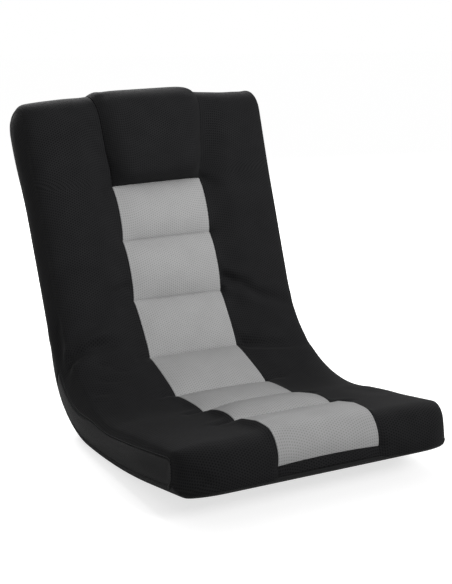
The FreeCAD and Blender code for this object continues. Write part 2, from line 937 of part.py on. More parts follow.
def export(name, shape):
    """One file for one piece, or for one group of like pieces."""
    shape = only_solids(seated(shape))
    shape.exportStep("parts/" + name + ".step")
    print(name, len(shape.Solids), shape.isValid(), round(shape.Volume))


def export_pair(name, shape):
    """A piece at the sitter's left and the same piece at the right."""
    export("left_" + name, shape)
    export("right_" + name, mirrored(shape))


def on_legs(shape):
    """The same hinge piece at both frame legs."""
    return both_sides(shape.translated(across * leg_offset))


def left_half(shape):
    """The part of a two-sided shape on the sitter's left."""
    return shape.common(side_box(-beyond, beyond, -beyond, beyond, 0, beyond))


os.makedirs("parts", exist_ok=True)
export("seat_frame", tube_frame(seat_leg_route()))
export("seat_cross_tubes", seat_cross_tubes())
export("rocker_rails", rocker_rails(rail_half))
export("seat_board", seat_board())
export("base_pads", base_pads())
export("back_frame", tube_frame(back_leg_route()))
export("back_cross_tubes", back_cross_tubes())
export("back_webbing", back_webbing())
export("hinge_cheeks", on_legs(hinge_cheeks()))
export("hinge_rivets", on_legs(hinge_rivet()))
export("pawl_pins", on_legs(pawl_pin()))
export("pawl_springs", on_legs(pawl_spring()))
export("ratchet_plates", on_legs(ratchet_plate()))
export_pair("pawl", pawl().translated(across * leg_offset))
export("seat_foam", seat_foam())
export_pair("seat_bolster", seat_bolster())
export("seat_center_panel", seat_center_panel())
export("front_band", front_band())
export_pair("side_band", left_half(side_band()))
export("base_cover", base_cover())
export("bend_foam", bend_foam())
export_pair("bend_bolster", bend_bolster())
export("bend_center_panel", bend_center_panel())
export_pair("bend_side_band", left_half(bend_side_band()))
export("heel_cover", heel_cover())
export("back_foam", back_foam())
export_pair("back_bolster", back_bolster())
export("back_center_panel", back_center_panel())
export("headrest_pad", headrest_pad())
export("back_rear_cover", back_rear_cover())
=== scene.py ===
import bpy
import math
import numpy as np
from collections import namedtuple
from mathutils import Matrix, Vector


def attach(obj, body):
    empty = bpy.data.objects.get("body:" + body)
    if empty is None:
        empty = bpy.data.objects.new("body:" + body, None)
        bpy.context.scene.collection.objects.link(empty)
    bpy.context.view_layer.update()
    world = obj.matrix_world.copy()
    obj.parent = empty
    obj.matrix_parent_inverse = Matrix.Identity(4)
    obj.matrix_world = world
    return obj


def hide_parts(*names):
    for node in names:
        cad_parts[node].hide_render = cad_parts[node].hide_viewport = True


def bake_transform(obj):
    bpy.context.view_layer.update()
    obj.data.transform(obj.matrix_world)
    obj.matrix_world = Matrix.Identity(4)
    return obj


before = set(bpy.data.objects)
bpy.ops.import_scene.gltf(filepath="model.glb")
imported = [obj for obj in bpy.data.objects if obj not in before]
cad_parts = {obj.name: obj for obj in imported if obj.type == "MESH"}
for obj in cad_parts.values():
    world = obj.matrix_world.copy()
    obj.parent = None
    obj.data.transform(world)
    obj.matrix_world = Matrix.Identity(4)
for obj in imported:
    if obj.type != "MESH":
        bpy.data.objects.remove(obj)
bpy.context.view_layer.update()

# A low padded floor chair. Sizes are millimetres until a mesh is made: +Z is up, the sitter
# looks along -Y and +X is the sitter's left. The cover is one surface, laid out in stations
# from the rear top edge over the front to the lower front edge, and cut at its seams.
MM = 0.001

# Side outline at the crown of the cushions
HEEL_REACH = 128.5
HEEL_RADIUS = 215.0
BACK_LENGTH = 630.0
BACK_REAR_LEAN = 25.0
BACK_FRONT_LEAN = 22.0
BACK_TOP_THICKNESS = 140.0
SEAT_REACH = 438.0
NOSE_TOP_HEIGHT = 141.0
NOSE_THICKNESS = 82.0
SEAT_FALL = 9.2
ROCKER_RADIUS = 1600.0
ROCKER_START = 15.0
REAR_TOP_RADIUS = 45.0
FRONT_TOP_RADIUS = 65.0
BEND_RADIUS = 250.0
NOSE_TOP_RADIUS = 49.0
NOSE_BOTTOM_RADIUS = 31.0
CORNER_RADII = [HEEL_RADIUS, REAR_TOP_RADIUS, FRONT_TOP_RADIUS, BEND_RADIUS, NOSE_TOP_RADIUS,
                NOSE_BOTTOM_RADIUS, ROCKER_RADIUS]
BEND = 3
LEAST_RADIUS = 8.0

# Across the chair: half widths, the rounds at the edges and the bulge of the side faces. A pair
# is where a change begins and where it is full.
HALF_WIDTH = 255.0
HALF_PANEL = 95.0
NOSE_PLAN_ROUND = 70.0
REAR_EDGE_ROUND = 16.0
TOP_EDGE_ROUND = 14.0
FRONT_EDGE_ROUND = 34.0
SEAT_EDGE_ROUND = 15.0
FRONT_EDGE_REACH = 60.0
SIDE_BULGE = 10.0
BULGE_HEIGHTS = (10, 60)
BULGE_TOP = (-130, 60)
BULGE_FRONT = (830, 1010)

# How far the stuffed cover of this chair stands off the even shape: a tilt, a spread or a tuck is
# a share of the distance across
TILT_SHARE = 0.032
TILT_FROM = -60.0
TILT_HEIGHTS = (230.0, 420.0)
TOP_SPREAD = 0.018
TOP_RISE = 6.0
TOP_SHIFT = 3.0
LEFT_SPREAD = 0.01
LEFT_BACK_SPREAD = 0.024
LEFT_BACK_HEIGHTS = (120, 260)
LEFT_SAG = 6.0
LEFT_SAG_PLACES = (110, 190)
LEFT_EAR = 4.0
LEFT_EAR_PLACES = (225, 250)
RIGHT_RISE = 4.0
RIGHT_RISE_PLACES = (-240, -120)
RIGHT_BACK_TUCK = 0.022
TUCK_START_HEIGHTS = (40, 160)
TUCK_END_HEIGHTS = (380, 520)

# Seams of the centre strip, as stations along the crown and depths below it
SEAMS = [190.0, 303.0, 423.0, 535.0, 652.0, 765.0, 880.0, 1066.0]
SEAM_DEPTHS = [33.0, 28.0, 24.0, 24.0, 10.0, 6.0, 2.0, 14.0]
SEAM_RUN_OUT = 30.0
END_BOW = 3.0
END_BOW_REACH = 45.0

# Ribs between the seams: the last one rolls over the front edge and has a profile of its own
RIB_RISE = 22.0
RIB_FLATNESS = 2.2
RIB_FULLNESS = 0.75
RIB_EDGE_SHARE = 0.55
RIB_EDGE_POWER = 4
RIB_MEAN_SHARE = 0.7
FRONT_RIB = 6
FRONT_RIB_SHARES = [0.0, 0.12, 0.4, 0.62, 0.8, 1.0]
FRONT_RIB_DEPTHS = [2.0, -6.0, -10.0, -5.0, 6.0, 14.0]
FRONT_RIB_CROWN = 4.0
PINCH_WIDTH = 58.0
TUCK_WIDTH = 9.0

# Headrest: how much wider than the strip it is, how deep its side creases lie, how proud it is
# of the bolsters, and how its lower lip rolls over the first seam
WIDTH_STATIONS = [-150, -60, 0, 42, 124, 177, 190]
WIDTH_EXTRAS = [15, 17, 18, 15, 8, 0, 0]
CREASE_STATIONS = [-150, -60, -20, 20, 60, 150, 190]
CREASE_DEPTHS = [0, 0, 1, 4, 9, 20, 33]
PROUD_STATIONS = [-150, -90, -20, 40, 190]
PROUD_HEIGHTS = [2, 11.0, 11.0, 20.0, 20.0]
HEADREST_LIP = 50.0
LIP_OVERHANG = 9.0
LIP_EDGE_POWER = 6
PILLOW_POWER = 6
TOP_PILLOW_POWER = 9
TOP_PILLOW_END = 20


def heading(degrees):
    return np.array([math.cos(math.radians(degrees)), math.sin(math.radians(degrees))])


def left_of(v):
    return np.array([-v[1], v[0]])


def crossing(p, d, q, e):
    """Where the line through p along d meets the line through q along e."""
    normal = left_of(e)
    return p + d * ((q - p) @ normal / (d @ normal))


def outline_corners():
    """The corners of the side outline, from the heel round the back, the seat and the sole."""
    rear = heading(90 - BACK_REAR_LEAN)
    seat = heading(180 - SEAT_FALL)
    heel = np.array([HEEL_REACH, 0.0])
    rear_top = heel + rear * BACK_LENGTH
    front_top = rear_top + left_of(rear) * BACK_TOP_THICKNESS
    nose_top = np.array([-SEAT_REACH, NOSE_TOP_HEIGHT])
    nose_bottom = nose_top + left_of(seat) * NOSE_THICKNESS
    bend = crossing(front_top, heading(90 - BACK_FRONT_LEAN), nose_top, seat)
    to_nose = nose_bottom - np.array([ROCKER_START, ROCKER_RADIUS])
    slope = math.atan2(-to_nose[0], -to_nose[1])
    slope -= math.acos(ROCKER_RADIUS / np.linalg.norm(to_nose))
    rocker = np.array([ROCKER_START - ROCKER_RADIUS * math.tan(slope / 2), 0.0])
    return [heel, rear_top, front_top, bend, nose_top, nose_bottom, rocker]


CORNERS = outline_corners()
COUNT = len(CORNERS)

Arc = namedtuple("Arc", "centre radius along turn start end")


def traced(rear, top, front, seat, nose):
    """The arcs at the outline's corners, with its sides moved inwards; lines join the arcs."""
    insets = [rear, top, front, seat, nose, rear, rear]
    lines = []
    for i in range(COUNT):
        along = CORNERS[(i + 1) % COUNT] - CORNERS[i]
        along = along / np.linalg.norm(along)
        lines.append((CORNERS[i] + left_of(along) * insets[i], along))
    arcs = []
    for i in range(COUNT):
        before, after = lines[i - 1], lines[i]
        corner = crossing(*before, *after)
        change = (insets[i - 1] + insets[i]) / 2
        radius = max(CORNER_RADII[i] + (change if i == BEND else -change), LEAST_RADIUS)
        turn = math.atan2(before[1][0] * after[1][1] - before[1][1] * after[1][0],
                          before[1] @ after[1])
        reach = radius * abs(math.tan(turn / 2))
        start = corner - before[1] * reach
        centre = start + left_of(before[1]) * math.copysign(radius, turn)
        arcs.append(Arc(centre, radius, before[1], turn, start, corner + after[1] * reach))
    return arcs


def turned(direction, angle):
    c, s = math.cos(angle), math.sin(angle)
    return np.array([direction[0] * c - direction[1] * s, direction[0] * s + direction[1] * c])


def on_arc(arcs, i, share):
    """The point and the outward direction at a share of a corner's arc."""
    arc = arcs[i]
    outward = -left_of(turned(arc.along, arc.turn * share))
    return arc.centre + outward * math.copysign(arc.radius, arc.turn), outward


def on_line(arcs, i, share):
    """The point and the outward direction at a share of the line after a corner."""
    start, end = arcs[i].end, arcs[(i + 1) % COUNT].start
    return start + (end - start) * share, -left_of(turned(arcs[i].along, arcs[i].turn))


# The outline in the middle plane, and a stretch of a route over its arcs and lines
MIDDLE = traced(0, 0, 0, 0, 0)
Stretch = namedtuple("Stretch", "kind corner first last start end")


def measured(route):
    """The route's stretches, with the shares that each runs over and the lengths at its ends."""
    stretches = []
    total = 0.0
    for kind, i, first, last in route:
        if kind == "arc":
            length = MIDDLE[i].radius * abs(MIDDLE[i].turn) * abs(last - first)
        else:
            length = np.linalg.norm(MIDDLE[(i + 1) % COUNT].start - MIDDLE[i].end)
        stretches.append(Stretch(kind, i, first, last, total, total + length))
        total += length
    return stretches


# The cover's front and rear both run from the middle of the rear top corner to the middle of the
# lower nose corner
FRONT = measured([("arc", 1, 0.5, 1), ("line", 1, 0, 1), ("arc", 2, 0, 1), ("line", 2, 0, 1),
                  ("arc", 3, 0, 1), ("line", 3, 0, 1), ("arc", 4, 0, 1), ("line", 4, 0, 1),
                  ("arc", 5, 0, 0.5)])
REAR = measured([("arc", 1, 0.5, 0), ("line", 0, 1, 0), ("arc", 0, 1, 0), ("line", 6, 1, 0),
                 ("arc", 6, 1, 0), ("line", 5, 1, 0), ("arc", 5, 1, 0.5)])
FRONT_LENGTH = FRONT[-1].end
REAR_LENGTH = REAR[-1].end
# Stations count from the sharp corner at the front of the top
FRONT_TOP = MIDDLE[2]
STATION_START = FRONT[2].end - FRONT_TOP.radius * math.tan(abs(FRONT_TOP.turn) / 2)


def locate(stretches, length):
    """The kind, the corner and the share of the place at a length along a route."""
    for part in stretches:
        if length <= part.end:
            share = (length - part.start) / (part.end - part.start)
            return part.kind, part.corner, part.first + (part.last - part.first) * share
    return part.kind, part.corner, part.last


def point_on(arcs, place):
    kind, i, share = place
    return on_arc(arcs, i, share) if kind == "arc" else on_line(arcs, i, share)


def smooth(value, low, high):
    """0 below low and 1 above high, with an even rise between them."""
    t = np.clip((value - low) / (high - low), 0, 1)
    return t * t * (3 - 2 * t)


def round_inset(distance, radius, reach=None):
    """How far an edge has fallen at a distance from the side; reach widens the round."""
    rest = max(1 - distance / (reach or radius), 0.0)
    return radius * (1 - math.sqrt(1 - rest * rest))


# Stations: even rows, closer beside each seam and round the headrest's lip
ROW_PITCH = 8.5
SEAM_CLEAR = 9.5
SEAM_OFFSETS = (-6, -2.6, -1, 0, 1, 2.6, 6)
LIP_SHARES = (1.1, 0.95, 0.8, 0.65, 0.5, 0.37, 0.26, 0.17, 0.1, 0.05)
LIP_CLEAR_ABOVE = 4
LIP_CLEAR_BELOW = 1.5


def row_lengths():
    rows = list(np.arange(0, FRONT_LENGTH, ROW_PITCH)) + [FRONT_LENGTH]
    for seam in SEAMS:
        at = seam + STATION_START
        rows = [r for r in rows if abs(r - at) > SEAM_CLEAR]
        rows += [at + offset for offset in SEAM_OFFSETS]
    lip = SEAMS[0] + STATION_START
    top = lip - HEADREST_LIP - LIP_CLEAR_ABOVE
    rows = [r for r in rows if not top < r < lip - LIP_CLEAR_BELOW]
    rows += [lip - HEADREST_LIP * share for share in LIP_SHARES]
    return np.array(sorted(rows))


ROWS = row_lengths()
STATIONS = ROWS - STATION_START

# Between these stations each row of the rear lies square behind its row of the front
FACING_START = 120
FACING_END = 960
LEAST_THICKNESS = 20
REAR_SAMPLES = 900


def rear_lengths():
    """The rear surface's length that faces each row, square to the front surface."""
    dense = np.linspace(0, REAR_LENGTH, REAR_SAMPLES)
    points = np.array([point_on(MIDDLE, locate(REAR, d))[0] for d in dense])
    found = np.full(len(ROWS), np.nan)
    for k, length in enumerate(ROWS):
        if not FACING_START < STATIONS[k] < FACING_END:
            continue
        p, n = point_on(MIDDLE, locate(FRONT, length))
        side = (points - p) @ left_of(n)
        depth = -(points - p) @ n
        hits = np.nonzero((side[:-1] * side[1:] <= 0) & (depth[:-1] > LEAST_THICKNESS))[0]
        hit = hits[np.argmin(depth[hits])]
        share = side[hit] / (side[hit] - side[hit + 1])
        found[k] = dense[hit] + (dense[hit + 1] - dense[hit]) * share
    known = np.nonzero(~np.isnan(found))[0]
    lengths = [0.0] + [ROWS[k] for k in known] + [FRONT_LENGTH]
    values = [0.0] + [found[k] for k in known] + [REAR_LENGTH]
    return np.interp(ROWS, lengths, np.maximum.accumulate(values))


REAR_ROWS = rear_lengths()

# Columns across the cover, closer at the seams and at the edges
PANEL_COUNT = 25
EDGE_COUNT = 12
PANEL_COLUMNS = np.sin(np.linspace(-math.pi / 2, math.pi / 2, PANEL_COUNT))
INNER_STEPS = [0.0, 1.2, 3.0, 6.0, 11.0, 17.0, 24.0, 32.0, 41.0, 50.0, 60.0, 70.0, 78.0]
EDGE_COLUMNS = HALF_WIDTH - NOSE_PLAN_ROUND * (1 - np.sin(np.linspace(0, math.pi / 2, EDGE_COUNT)))
BOLSTER_COLUMNS = np.array([HALF_PANEL + step for step in INNER_STEPS] + list(EDGE_COLUMNS))
REAR_FLAT = 160
REAR_FLAT_COUNT = 17
REAR_FLAT_COLUMNS = np.linspace(-REAR_FLAT, REAR_FLAT, REAR_FLAT_COUNT)
REAR_COLUMNS = np.concatenate([-EDGE_COLUMNS[::-1], REAR_FLAT_COLUMNS, EDGE_COLUMNS])

# Columns down a side face, where the lower ones are the band's
UPPER_STEPS = 7
LOWER_STEPS = 6
BAND_HEIGHT = 50.0
BAND_SHARE_LIMIT = 0.82


def seam_reach(station):
    """Half the width of the centre strip or the headrest at a station."""
    return HALF_PANEL + float(np.interp(station, WIDTH_STATIONS, WIDTH_EXTRAS))


def seam_depth(station):
    """Depth of the strip's seams below the crown, run on evenly between them."""
    return float(np.interp(station, SEAMS + [SEAMS[-1] + SEAM_RUN_OUT], SEAM_DEPTHS + [0.0]))


def rib_depth(station, share):
    """Depth of the ribs' surface, which comes down to the seams and lies lower at its edges."""
    edge = share ** RIB_EDGE_POWER
    rib = int(np.searchsorted(SEAMS, station, side="right")) - 1
    if rib >= len(SEAMS) - 1:
        return seam_depth(station)
    u = (station - SEAMS[rib]) / (SEAMS[rib + 1] - SEAMS[rib])
    if rib == FRONT_RIB:
        depth = float(np.interp(u, FRONT_RIB_SHARES, FRONT_RIB_DEPTHS))
        return depth - FRONT_RIB_CROWN * math.sin(math.pi * u) * (1 - edge)
    crown = (1 - abs(2 * u - 1) ** RIB_FLATNESS) ** RIB_FULLNESS
    return seam_depth(station) - RIB_RISE * crown * (1 - edge * (1 - RIB_EDGE_SHARE))


def headrest_depth(station, share):
    """Depth of the headrest's surface, proud in its middle and sunk in the creases beside it."""
    crease = float(np.interp(station, CREASE_STATIONS, CREASE_DEPTHS))
    proud = float(np.interp(station, PROUD_STATIONS, PROUD_HEIGHTS))
    middle = -proud
    u = (SEAMS[0] - station) / HEADREST_LIP
    if u < 1:
        middle += (SEAM_DEPTHS[0] + proud) * (1 - math.sqrt(1 - (1 - u) ** 2))
        crease = max(crease, middle)
    pillow = share ** (TOP_PILLOW_POWER if station < TOP_PILLOW_END else PILLOW_POWER)
    return middle * (1 - pillow) + crease * pillow


def strip_depth(station, share):
    """Depth of the centre strip below the crown; share is 0 at its middle and 1 at its edge."""
    return rib_depth(station, share) if station >= SEAMS[0] else headrest_depth(station, share)


def bolster_depth(station, distance):
    """Depth of a bolster's surface at a distance from the seam with the centre strip."""
    edge = strip_depth(station, 1.0)
    drawn = max(min(edge, seam_depth(station) - RIB_RISE * RIB_EDGE_SHARE * RIB_MEAN_SHARE), 0.0)
    wide = drawn * (1 - smooth(distance, 0, PINCH_WIDTH))
    return wide + (edge - drawn) * math.exp(-(distance / TUCK_WIDTH) ** 2)


def lip_shift(station, share):
    """How far the headrest's lower edge hangs over the first seam."""
    u = (SEAMS[0] - station) / HEADREST_LIP
    if not 0 < u < 1:
        return 0.0
    return LIP_OVERHANG * math.sin(math.pi * (1 - u)) * (1 - share ** LIP_EDGE_POWER)


def end_bow(station, share):
    """How far the centre strip's front seam is drawn up at its middle."""
    near = math.exp(-((station - SEAMS[-1]) / END_BOW_REACH) ** 2)
    return END_BOW * near * (1 - share ** 2)


TRACES = {}


def trace_at(x):
    """The outline of the section at x, moved inwards where an edge is rounded."""
    distance = round(HALF_WIDTH - abs(x), 3)
    if distance not in TRACES:
        TRACES[distance] = traced(round_inset(distance, REAR_EDGE_ROUND),
                                  round_inset(distance, TOP_EDGE_ROUND),
                                  round_inset(distance, FRONT_EDGE_ROUND, FRONT_EDGE_REACH),
                                  round_inset(distance, SEAT_EDGE_ROUND, FRONT_EDGE_REACH),
                                  round_inset(distance, NOSE_PLAN_ROUND))
    return TRACES[distance]


def front_row(k):
    """The points of one row across the front, from the right side to the left side."""
    station = STATIONS[k]
    reach = seam_reach(station)
    place = locate(FRONT, ROWS[k])
    flat = HALF_WIDTH - NOSE_PLAN_ROUND
    span = (flat - reach) / (flat - HALF_PANEL)
    stretched = reach + (BOLSTER_COLUMNS - HALF_PANEL) * span
    bolster_x = np.where(BOLSTER_COLUMNS < flat, stretched, BOLSTER_COLUMNS)
    points = []
    for x in [-x for x in bolster_x[::-1]] + list(PANEL_COLUMNS[1:-1] * reach) + list(bolster_x):
        p, n = point_on(trace_at(x), place)
        if abs(x) <= reach:
            depth = strip_depth(station, abs(x) / reach)
            p = p + left_of(n) * (lip_shift(station, abs(x) / reach) - end_bow(station, x / reach))
        else:
            depth = bolster_depth(station, abs(x) - reach)
        p = p - n * depth
        points.append((x, p[0], p[1]))
    return points


def rear_row(k):
    """The points of one row across the rear and the sole, from the right side to the left."""
    place = locate(REAR, REAR_ROWS[k])
    return [(x, *point_on(trace_at(x), place)[0]) for x in REAR_COLUMNS]


def side_row(front_edge, rear_edge, bulge_share):
    """Points down the side face, from the front edge to the rear edge."""
    front_edge, rear_edge = np.array(front_edge), np.array(rear_edge)
    sign = math.copysign(1, front_edge[0])
    height = max(np.linalg.norm(front_edge - rear_edge), 1.0)
    band = 1 - min(BAND_HEIGHT / height, BAND_SHARE_LIMIT)
    upper = np.linspace(0, band, UPPER_STEPS + 1)[1:]
    lower = np.linspace(band, 1, LOWER_STEPS + 1)[1:-1]
    points = []
    for q in [*upper, *lower]:
        p = front_edge + (rear_edge - front_edge) * q
        p[0] += sign * SIDE_BULGE * math.sin(math.pi * q) * bulge_share
        points.append(tuple(p))
    return points


def even_grid():
    """Rows of points round the whole cover: front, left side, rear, right side."""
    rows = []
    for k, station in enumerate(STATIONS):
        front = front_row(k)
        rear = rear_row(k)
        height = np.linalg.norm(np.array(front[-1]) - np.array(rear[-1]))
        share = smooth(height, *BULGE_HEIGHTS) * smooth(station, *BULGE_TOP)
        share *= 1 - smooth(station, *BULGE_FRONT)
        left = side_row(front[-1], rear[-1], share)
        right = side_row(front[0], rear[0], share)
        rows.append(front + left + rear[::-1] + right[::-1])
    return np.array(rows)


def stuffed_grid():
    """The even grid, tilted, spread and tucked as the stuffed cover is."""
    grid = even_grid()
    high = smooth(grid[:, :, 2], *TILT_HEIGHTS)
    grid[:, :, 2] += TILT_SHARE * (grid[:, :, 0] - TILT_FROM) * high
    top = smooth(grid[:, :, 2], TILT_HEIGHTS[1], CORNERS[2][1])
    across = grid[:, :, 0]
    sag = LEFT_SAG * smooth(across, *LEFT_SAG_PLACES) - LEFT_EAR * smooth(across, *LEFT_EAR_PLACES)
    rise = RIGHT_RISE * smooth(across, *RIGHT_RISE_PLACES) * (across < -HALF_PANEL)
    grid[:, :, 2] += (TOP_RISE + rise - sag) * top
    height = grid[:, :, 2]
    low_back = smooth(height, *TUCK_START_HEIGHTS) * (1 - smooth(height, *TUCK_END_HEIGHTS))
    left = LEFT_SPREAD + LEFT_BACK_SPREAD * smooth(height, *LEFT_BACK_HEIGHTS)
    spread = np.where(across > 0, left + TOP_SPREAD * top, -RIGHT_BACK_TUCK * low_back)
    grid[:, :, 0] += across * spread + TOP_SHIFT * top * (1 - abs(across) / HALF_WIDTH)
    return grid


GRID = stuffed_grid()
N_ROWS, LOOP = GRID.shape[:2]

# Blocks of columns, counted from the right edge of the front
N_BOLSTER = len(BOLSTER_COLUMNS)
N_PANEL = len(PANEL_COLUMNS) - 2
N_SIDE = UPPER_STEPS + LOWER_STEPS - 1
FRONT_END = 2 * N_BOLSTER + N_PANEL
LEFT_BAND = FRONT_END + UPPER_STEPS - 1
LEFT_SIDE_END = FRONT_END + N_SIDE
REAR_END = LEFT_SIDE_END + len(REAR_COLUMNS)
RIGHT_BAND = REAR_END + LOWER_STEPS - 1
STRIP_START = N_BOLSTER - 1
STRIP_END = N_BOLSTER + N_PANEL

# The bands start at the back's wall, level with the hinge, and the base cloth behind the seat.
# Angles are in the side view, in degrees about the hinge.
HINGE = np.array([107.0, 80.0])
BAND_WALL = 0.0
BASE_CLOTH_WALL = -70.0
BAND_FRONT_END = -388.0
SEAM_AT_BEND = 4


def around_hinge(point):
    return math.degrees(math.atan2(point[2] - HINGE[1], point[1] - HINGE[0]))


def band_rows():
    """The first and the last row of the side bands, from the back's wall to the front seam."""
    rear = GRID[:, LEFT_SIDE_END]
    below = [k for k in range(N_ROWS) if around_hinge(rear[k]) < BAND_WALL]
    front = [k for k in below if rear[k, 1] > BAND_FRONT_END]
    return below[0], front[-1] + 1


BAND_FIRST, BAND_LAST = band_rows()
COVER_SPLIT = next(k for k in range(N_ROWS)
                   if around_hinge(GRID[k, LEFT_SIDE_END]) < BASE_CLOTH_WALL)
SEAM_ROWS = [int(np.argmin(abs(STATIONS - seam))) for seam in SEAMS]

NAMES = ["right_bolster", "left_bolster", "headrest", "center_panel", "front_band_cover",
         "right_band_cover", "left_band_cover", "rear_cover", "base_cloth_cover"]


def piece_of(k, c):
    """The piece that a face of the grid belongs to."""
    if LEFT_SIDE_END <= c < REAR_END - 1:
        return NAMES.index("rear_cover" if k < COVER_SPLIT else "base_cloth_cover")
    if STRIP_START <= c < STRIP_END:
        name = "headrest" if k < SEAM_ROWS[0] else "center_panel"
        return NAMES.index(name if k < SEAM_ROWS[-1] else "front_band_cover")
    in_band = BAND_FIRST <= k < BAND_LAST
    if STRIP_END <= c < LEFT_SIDE_END:
        return NAMES.index("left_band_cover" if in_band and c >= LEFT_BAND else "left_bolster")
    in_band = in_band and REAR_END - 1 <= c < RIGHT_BAND
    return NAMES.index("right_band_cover" if in_band else "right_bolster")


def fabric_places():
    """Lengths across the cloth from the middle of the front, one for each point of the grid."""
    middle = N_BOLSTER + N_PANEL // 2
    steps = np.linalg.norm(np.diff(np.concatenate([GRID, GRID[:, :1]], axis=1), axis=1), axis=2)
    across = np.zeros((N_ROWS, LOOP))
    across[:, middle + 1:LEFT_SIDE_END + 1] = np.cumsum(steps[:, middle:LEFT_SIDE_END], axis=1)
    back = np.cumsum(steps[:, middle - 1::-1], axis=1)
    across[:, :middle] = -back[:, ::-1]
    around = np.cumsum(steps[:, :REAR_END - 2:-1], axis=1)
    across[:, REAR_END - 1:] = (across[:, :1] - around)[:, ::-1]
    for c in range(LEFT_SIDE_END + 1, REAR_END - 1):
        across[:, c] = across[:, LEFT_SIDE_END] + HALF_WIDTH - GRID[:, c, 0]
    return across


ACROSS = fabric_places()


def lengths_along():
    """Lengths down the cloth in each column, counted from the seam at the bend."""
    steps = np.linalg.norm(np.diff(GRID, axis=0), axis=2)
    along = np.concatenate([np.zeros((1, LOOP)), np.cumsum(steps, axis=0)])
    return along - along[SEAM_ROWS[SEAM_AT_BEND]]


ALONG = lengths_along()


def new_object(name, mesh):
    """An object with a mesh, put in the scene."""
    obj = bpy.data.objects.new(name, mesh)
    bpy.context.scene.collection.objects.link(obj)
    return obj


def whole_cover():
    """The cover in one mesh; a face's material number is its piece."""
    faces, owners, places = [], [], []
    for k in range(N_ROWS - 1):
        for c in range(LOOP):
            d = (c + 1) % LOOP
            faces.append(((k + 1) * LOOP + c, (k + 1) * LOOP + d, k * LOOP + d, k * LOOP + c))
            owners.append(piece_of(k, c))
            corners = [(k + 1, c), (k + 1, d), (k, d), (k, c)]
            if LEFT_SIDE_END <= c < REAR_END - 1:
                places += [(GRID[i, j, 0] * MM, REAR_ROWS[i] * MM) for i, j in corners]
            else:
                places += [(ACROSS[i, j] * MM, ALONG[i, j] * MM) for i, j in corners]
    mesh = bpy.data.meshes.new("cover")
    mesh.from_pydata((GRID.reshape(-1, 3) * MM).tolist(), [], faces)
    mesh.uv_layers.new(name="cloth").data.foreach_set("uv", np.array(places).ravel())
    for _ in NAMES:
        mesh.materials.append(None)
    mesh.polygons.foreach_set("material_index", owners)
    for name, values in (("across", ACROSS), ("along", np.repeat(STATIONS[:, None], LOOP, 1))):
        mesh.attributes.new(name, "FLOAT", "POINT").data.foreach_set("value", values.ravel())
    return new_object("cover", mesh)


def baked(obj):
    """The object's mesh with its modifiers applied, which are then removed."""
    graph = bpy.context.evaluated_depsgraph_get()
    mesh = bpy.data.meshes.new_from_object(obj.evaluated_get(graph), preserve_all_data_layers=True,
                                           depsgraph=graph)
    obj.modifiers.clear()
    obj.data = mesh
    return mesh


def coordinates(mesh):
    values = np.zeros(len(mesh.vertices) * 3)
    mesh.vertices.foreach_get("co", values)
    return values.reshape(-1, 3)


def directions(mesh):
    """The mesh's normals at its points."""
    values = np.zeros(len(mesh.vertices) * 3)
    mesh.vertex_normals.foreach_get("vector", values)
    return values.reshape(-1, 3)


def float_attribute(mesh, name):
    values = np.zeros(len(mesh.vertices))
    mesh.attributes[name].data.foreach_get("value", values)
    return values


def face_table(mesh):
    """The corners of each face, the piece that it belongs to and its places on the cloth."""
    corners = np.zeros(len(mesh.loops), int)
    mesh.loops.foreach_get("vertex_index", corners)
    owners = np.zeros(len(mesh.polygons), int)
    mesh.polygons.foreach_get("material_index", owners)
    uvs = np.zeros(len(mesh.loops) * 2)
    mesh.uv_layers["cloth"].data.foreach_get("uv", uvs)
    return corners.reshape(-1, 4), owners, uvs.reshape(-1, 4, 2)


def edges_of(faces):
    return np.stack([faces, np.roll(faces, -1, axis=1)], axis=2).reshape(-1, 2)


def seam_points(faces, owners, count):
    """Which points of the cover lie on a seam between two pieces."""
    low = np.full(count, len(NAMES))
    high = np.full(count, -1)
    np.minimum.at(low, faces.ravel(), np.repeat(owners, 4))
    np.maximum.at(high, faces.ravel(), np.repeat(owners, 4))
    return low < high


# Filling: pressure swells the slack cover between its seams, which draws the small folds

FILL_PRESSURE = 4.0
COVER_SLACK = 0.012
SWELL_LIMIT = 6.0 * MM
START_DEPTH = 1.2 * MM
FILL_FRAMES = 20

# What stays put beside the seams, the lip and the front corners: the first two are lengths along
# the cover in millimetres, and the others count rows and columns. BLEND_STEPS is how many rows and
# columns the hold fades over.
SEAM_HOLD = 3
LIP_HOLD_BELOW = 12
EDGE_HOLD_OUT = 3
EDGE_HOLD_IN = 1
LIP_HOLD_OUT = 5
CORNER_ROWS = 4
CORNER_COLUMNS = 10
BLEND_STEPS = 5


def held_points(mesh):
    """Points that the seams, the frame or the floor hold."""
    faces, owners, _ = face_table(mesh)
    held = seam_points(faces, owners, len(mesh.vertices)).reshape(N_ROWS, LOOP)
    held[:, LEFT_SIDE_END:REAR_END] = True
    held[[0, -1]] = True
    for seam in SEAMS:
        held[abs(STATIONS - seam) < SEAM_HOLD, STRIP_START:STRIP_END + 1] = True
    held[:, STRIP_START - EDGE_HOLD_OUT:STRIP_START + EDGE_HOLD_IN + 1] = True
    held[:, STRIP_END - EDGE_HOLD_IN:STRIP_END + EDGE_HOLD_OUT + 1] = True
    lip = (STATIONS > SEAMS[0] - HEADREST_LIP) & (STATIONS < SEAMS[0] + LIP_HOLD_BELOW)
    held[lip, STRIP_START - LIP_HOLD_OUT:STRIP_END + LIP_HOLD_OUT + 1] = True
    held[BAND_LAST - CORNER_ROWS:, :CORNER_COLUMNS] = True
    held[BAND_LAST - CORNER_ROWS:, FRONT_END - CORNER_COLUMNS:] = True
    return held.ravel()


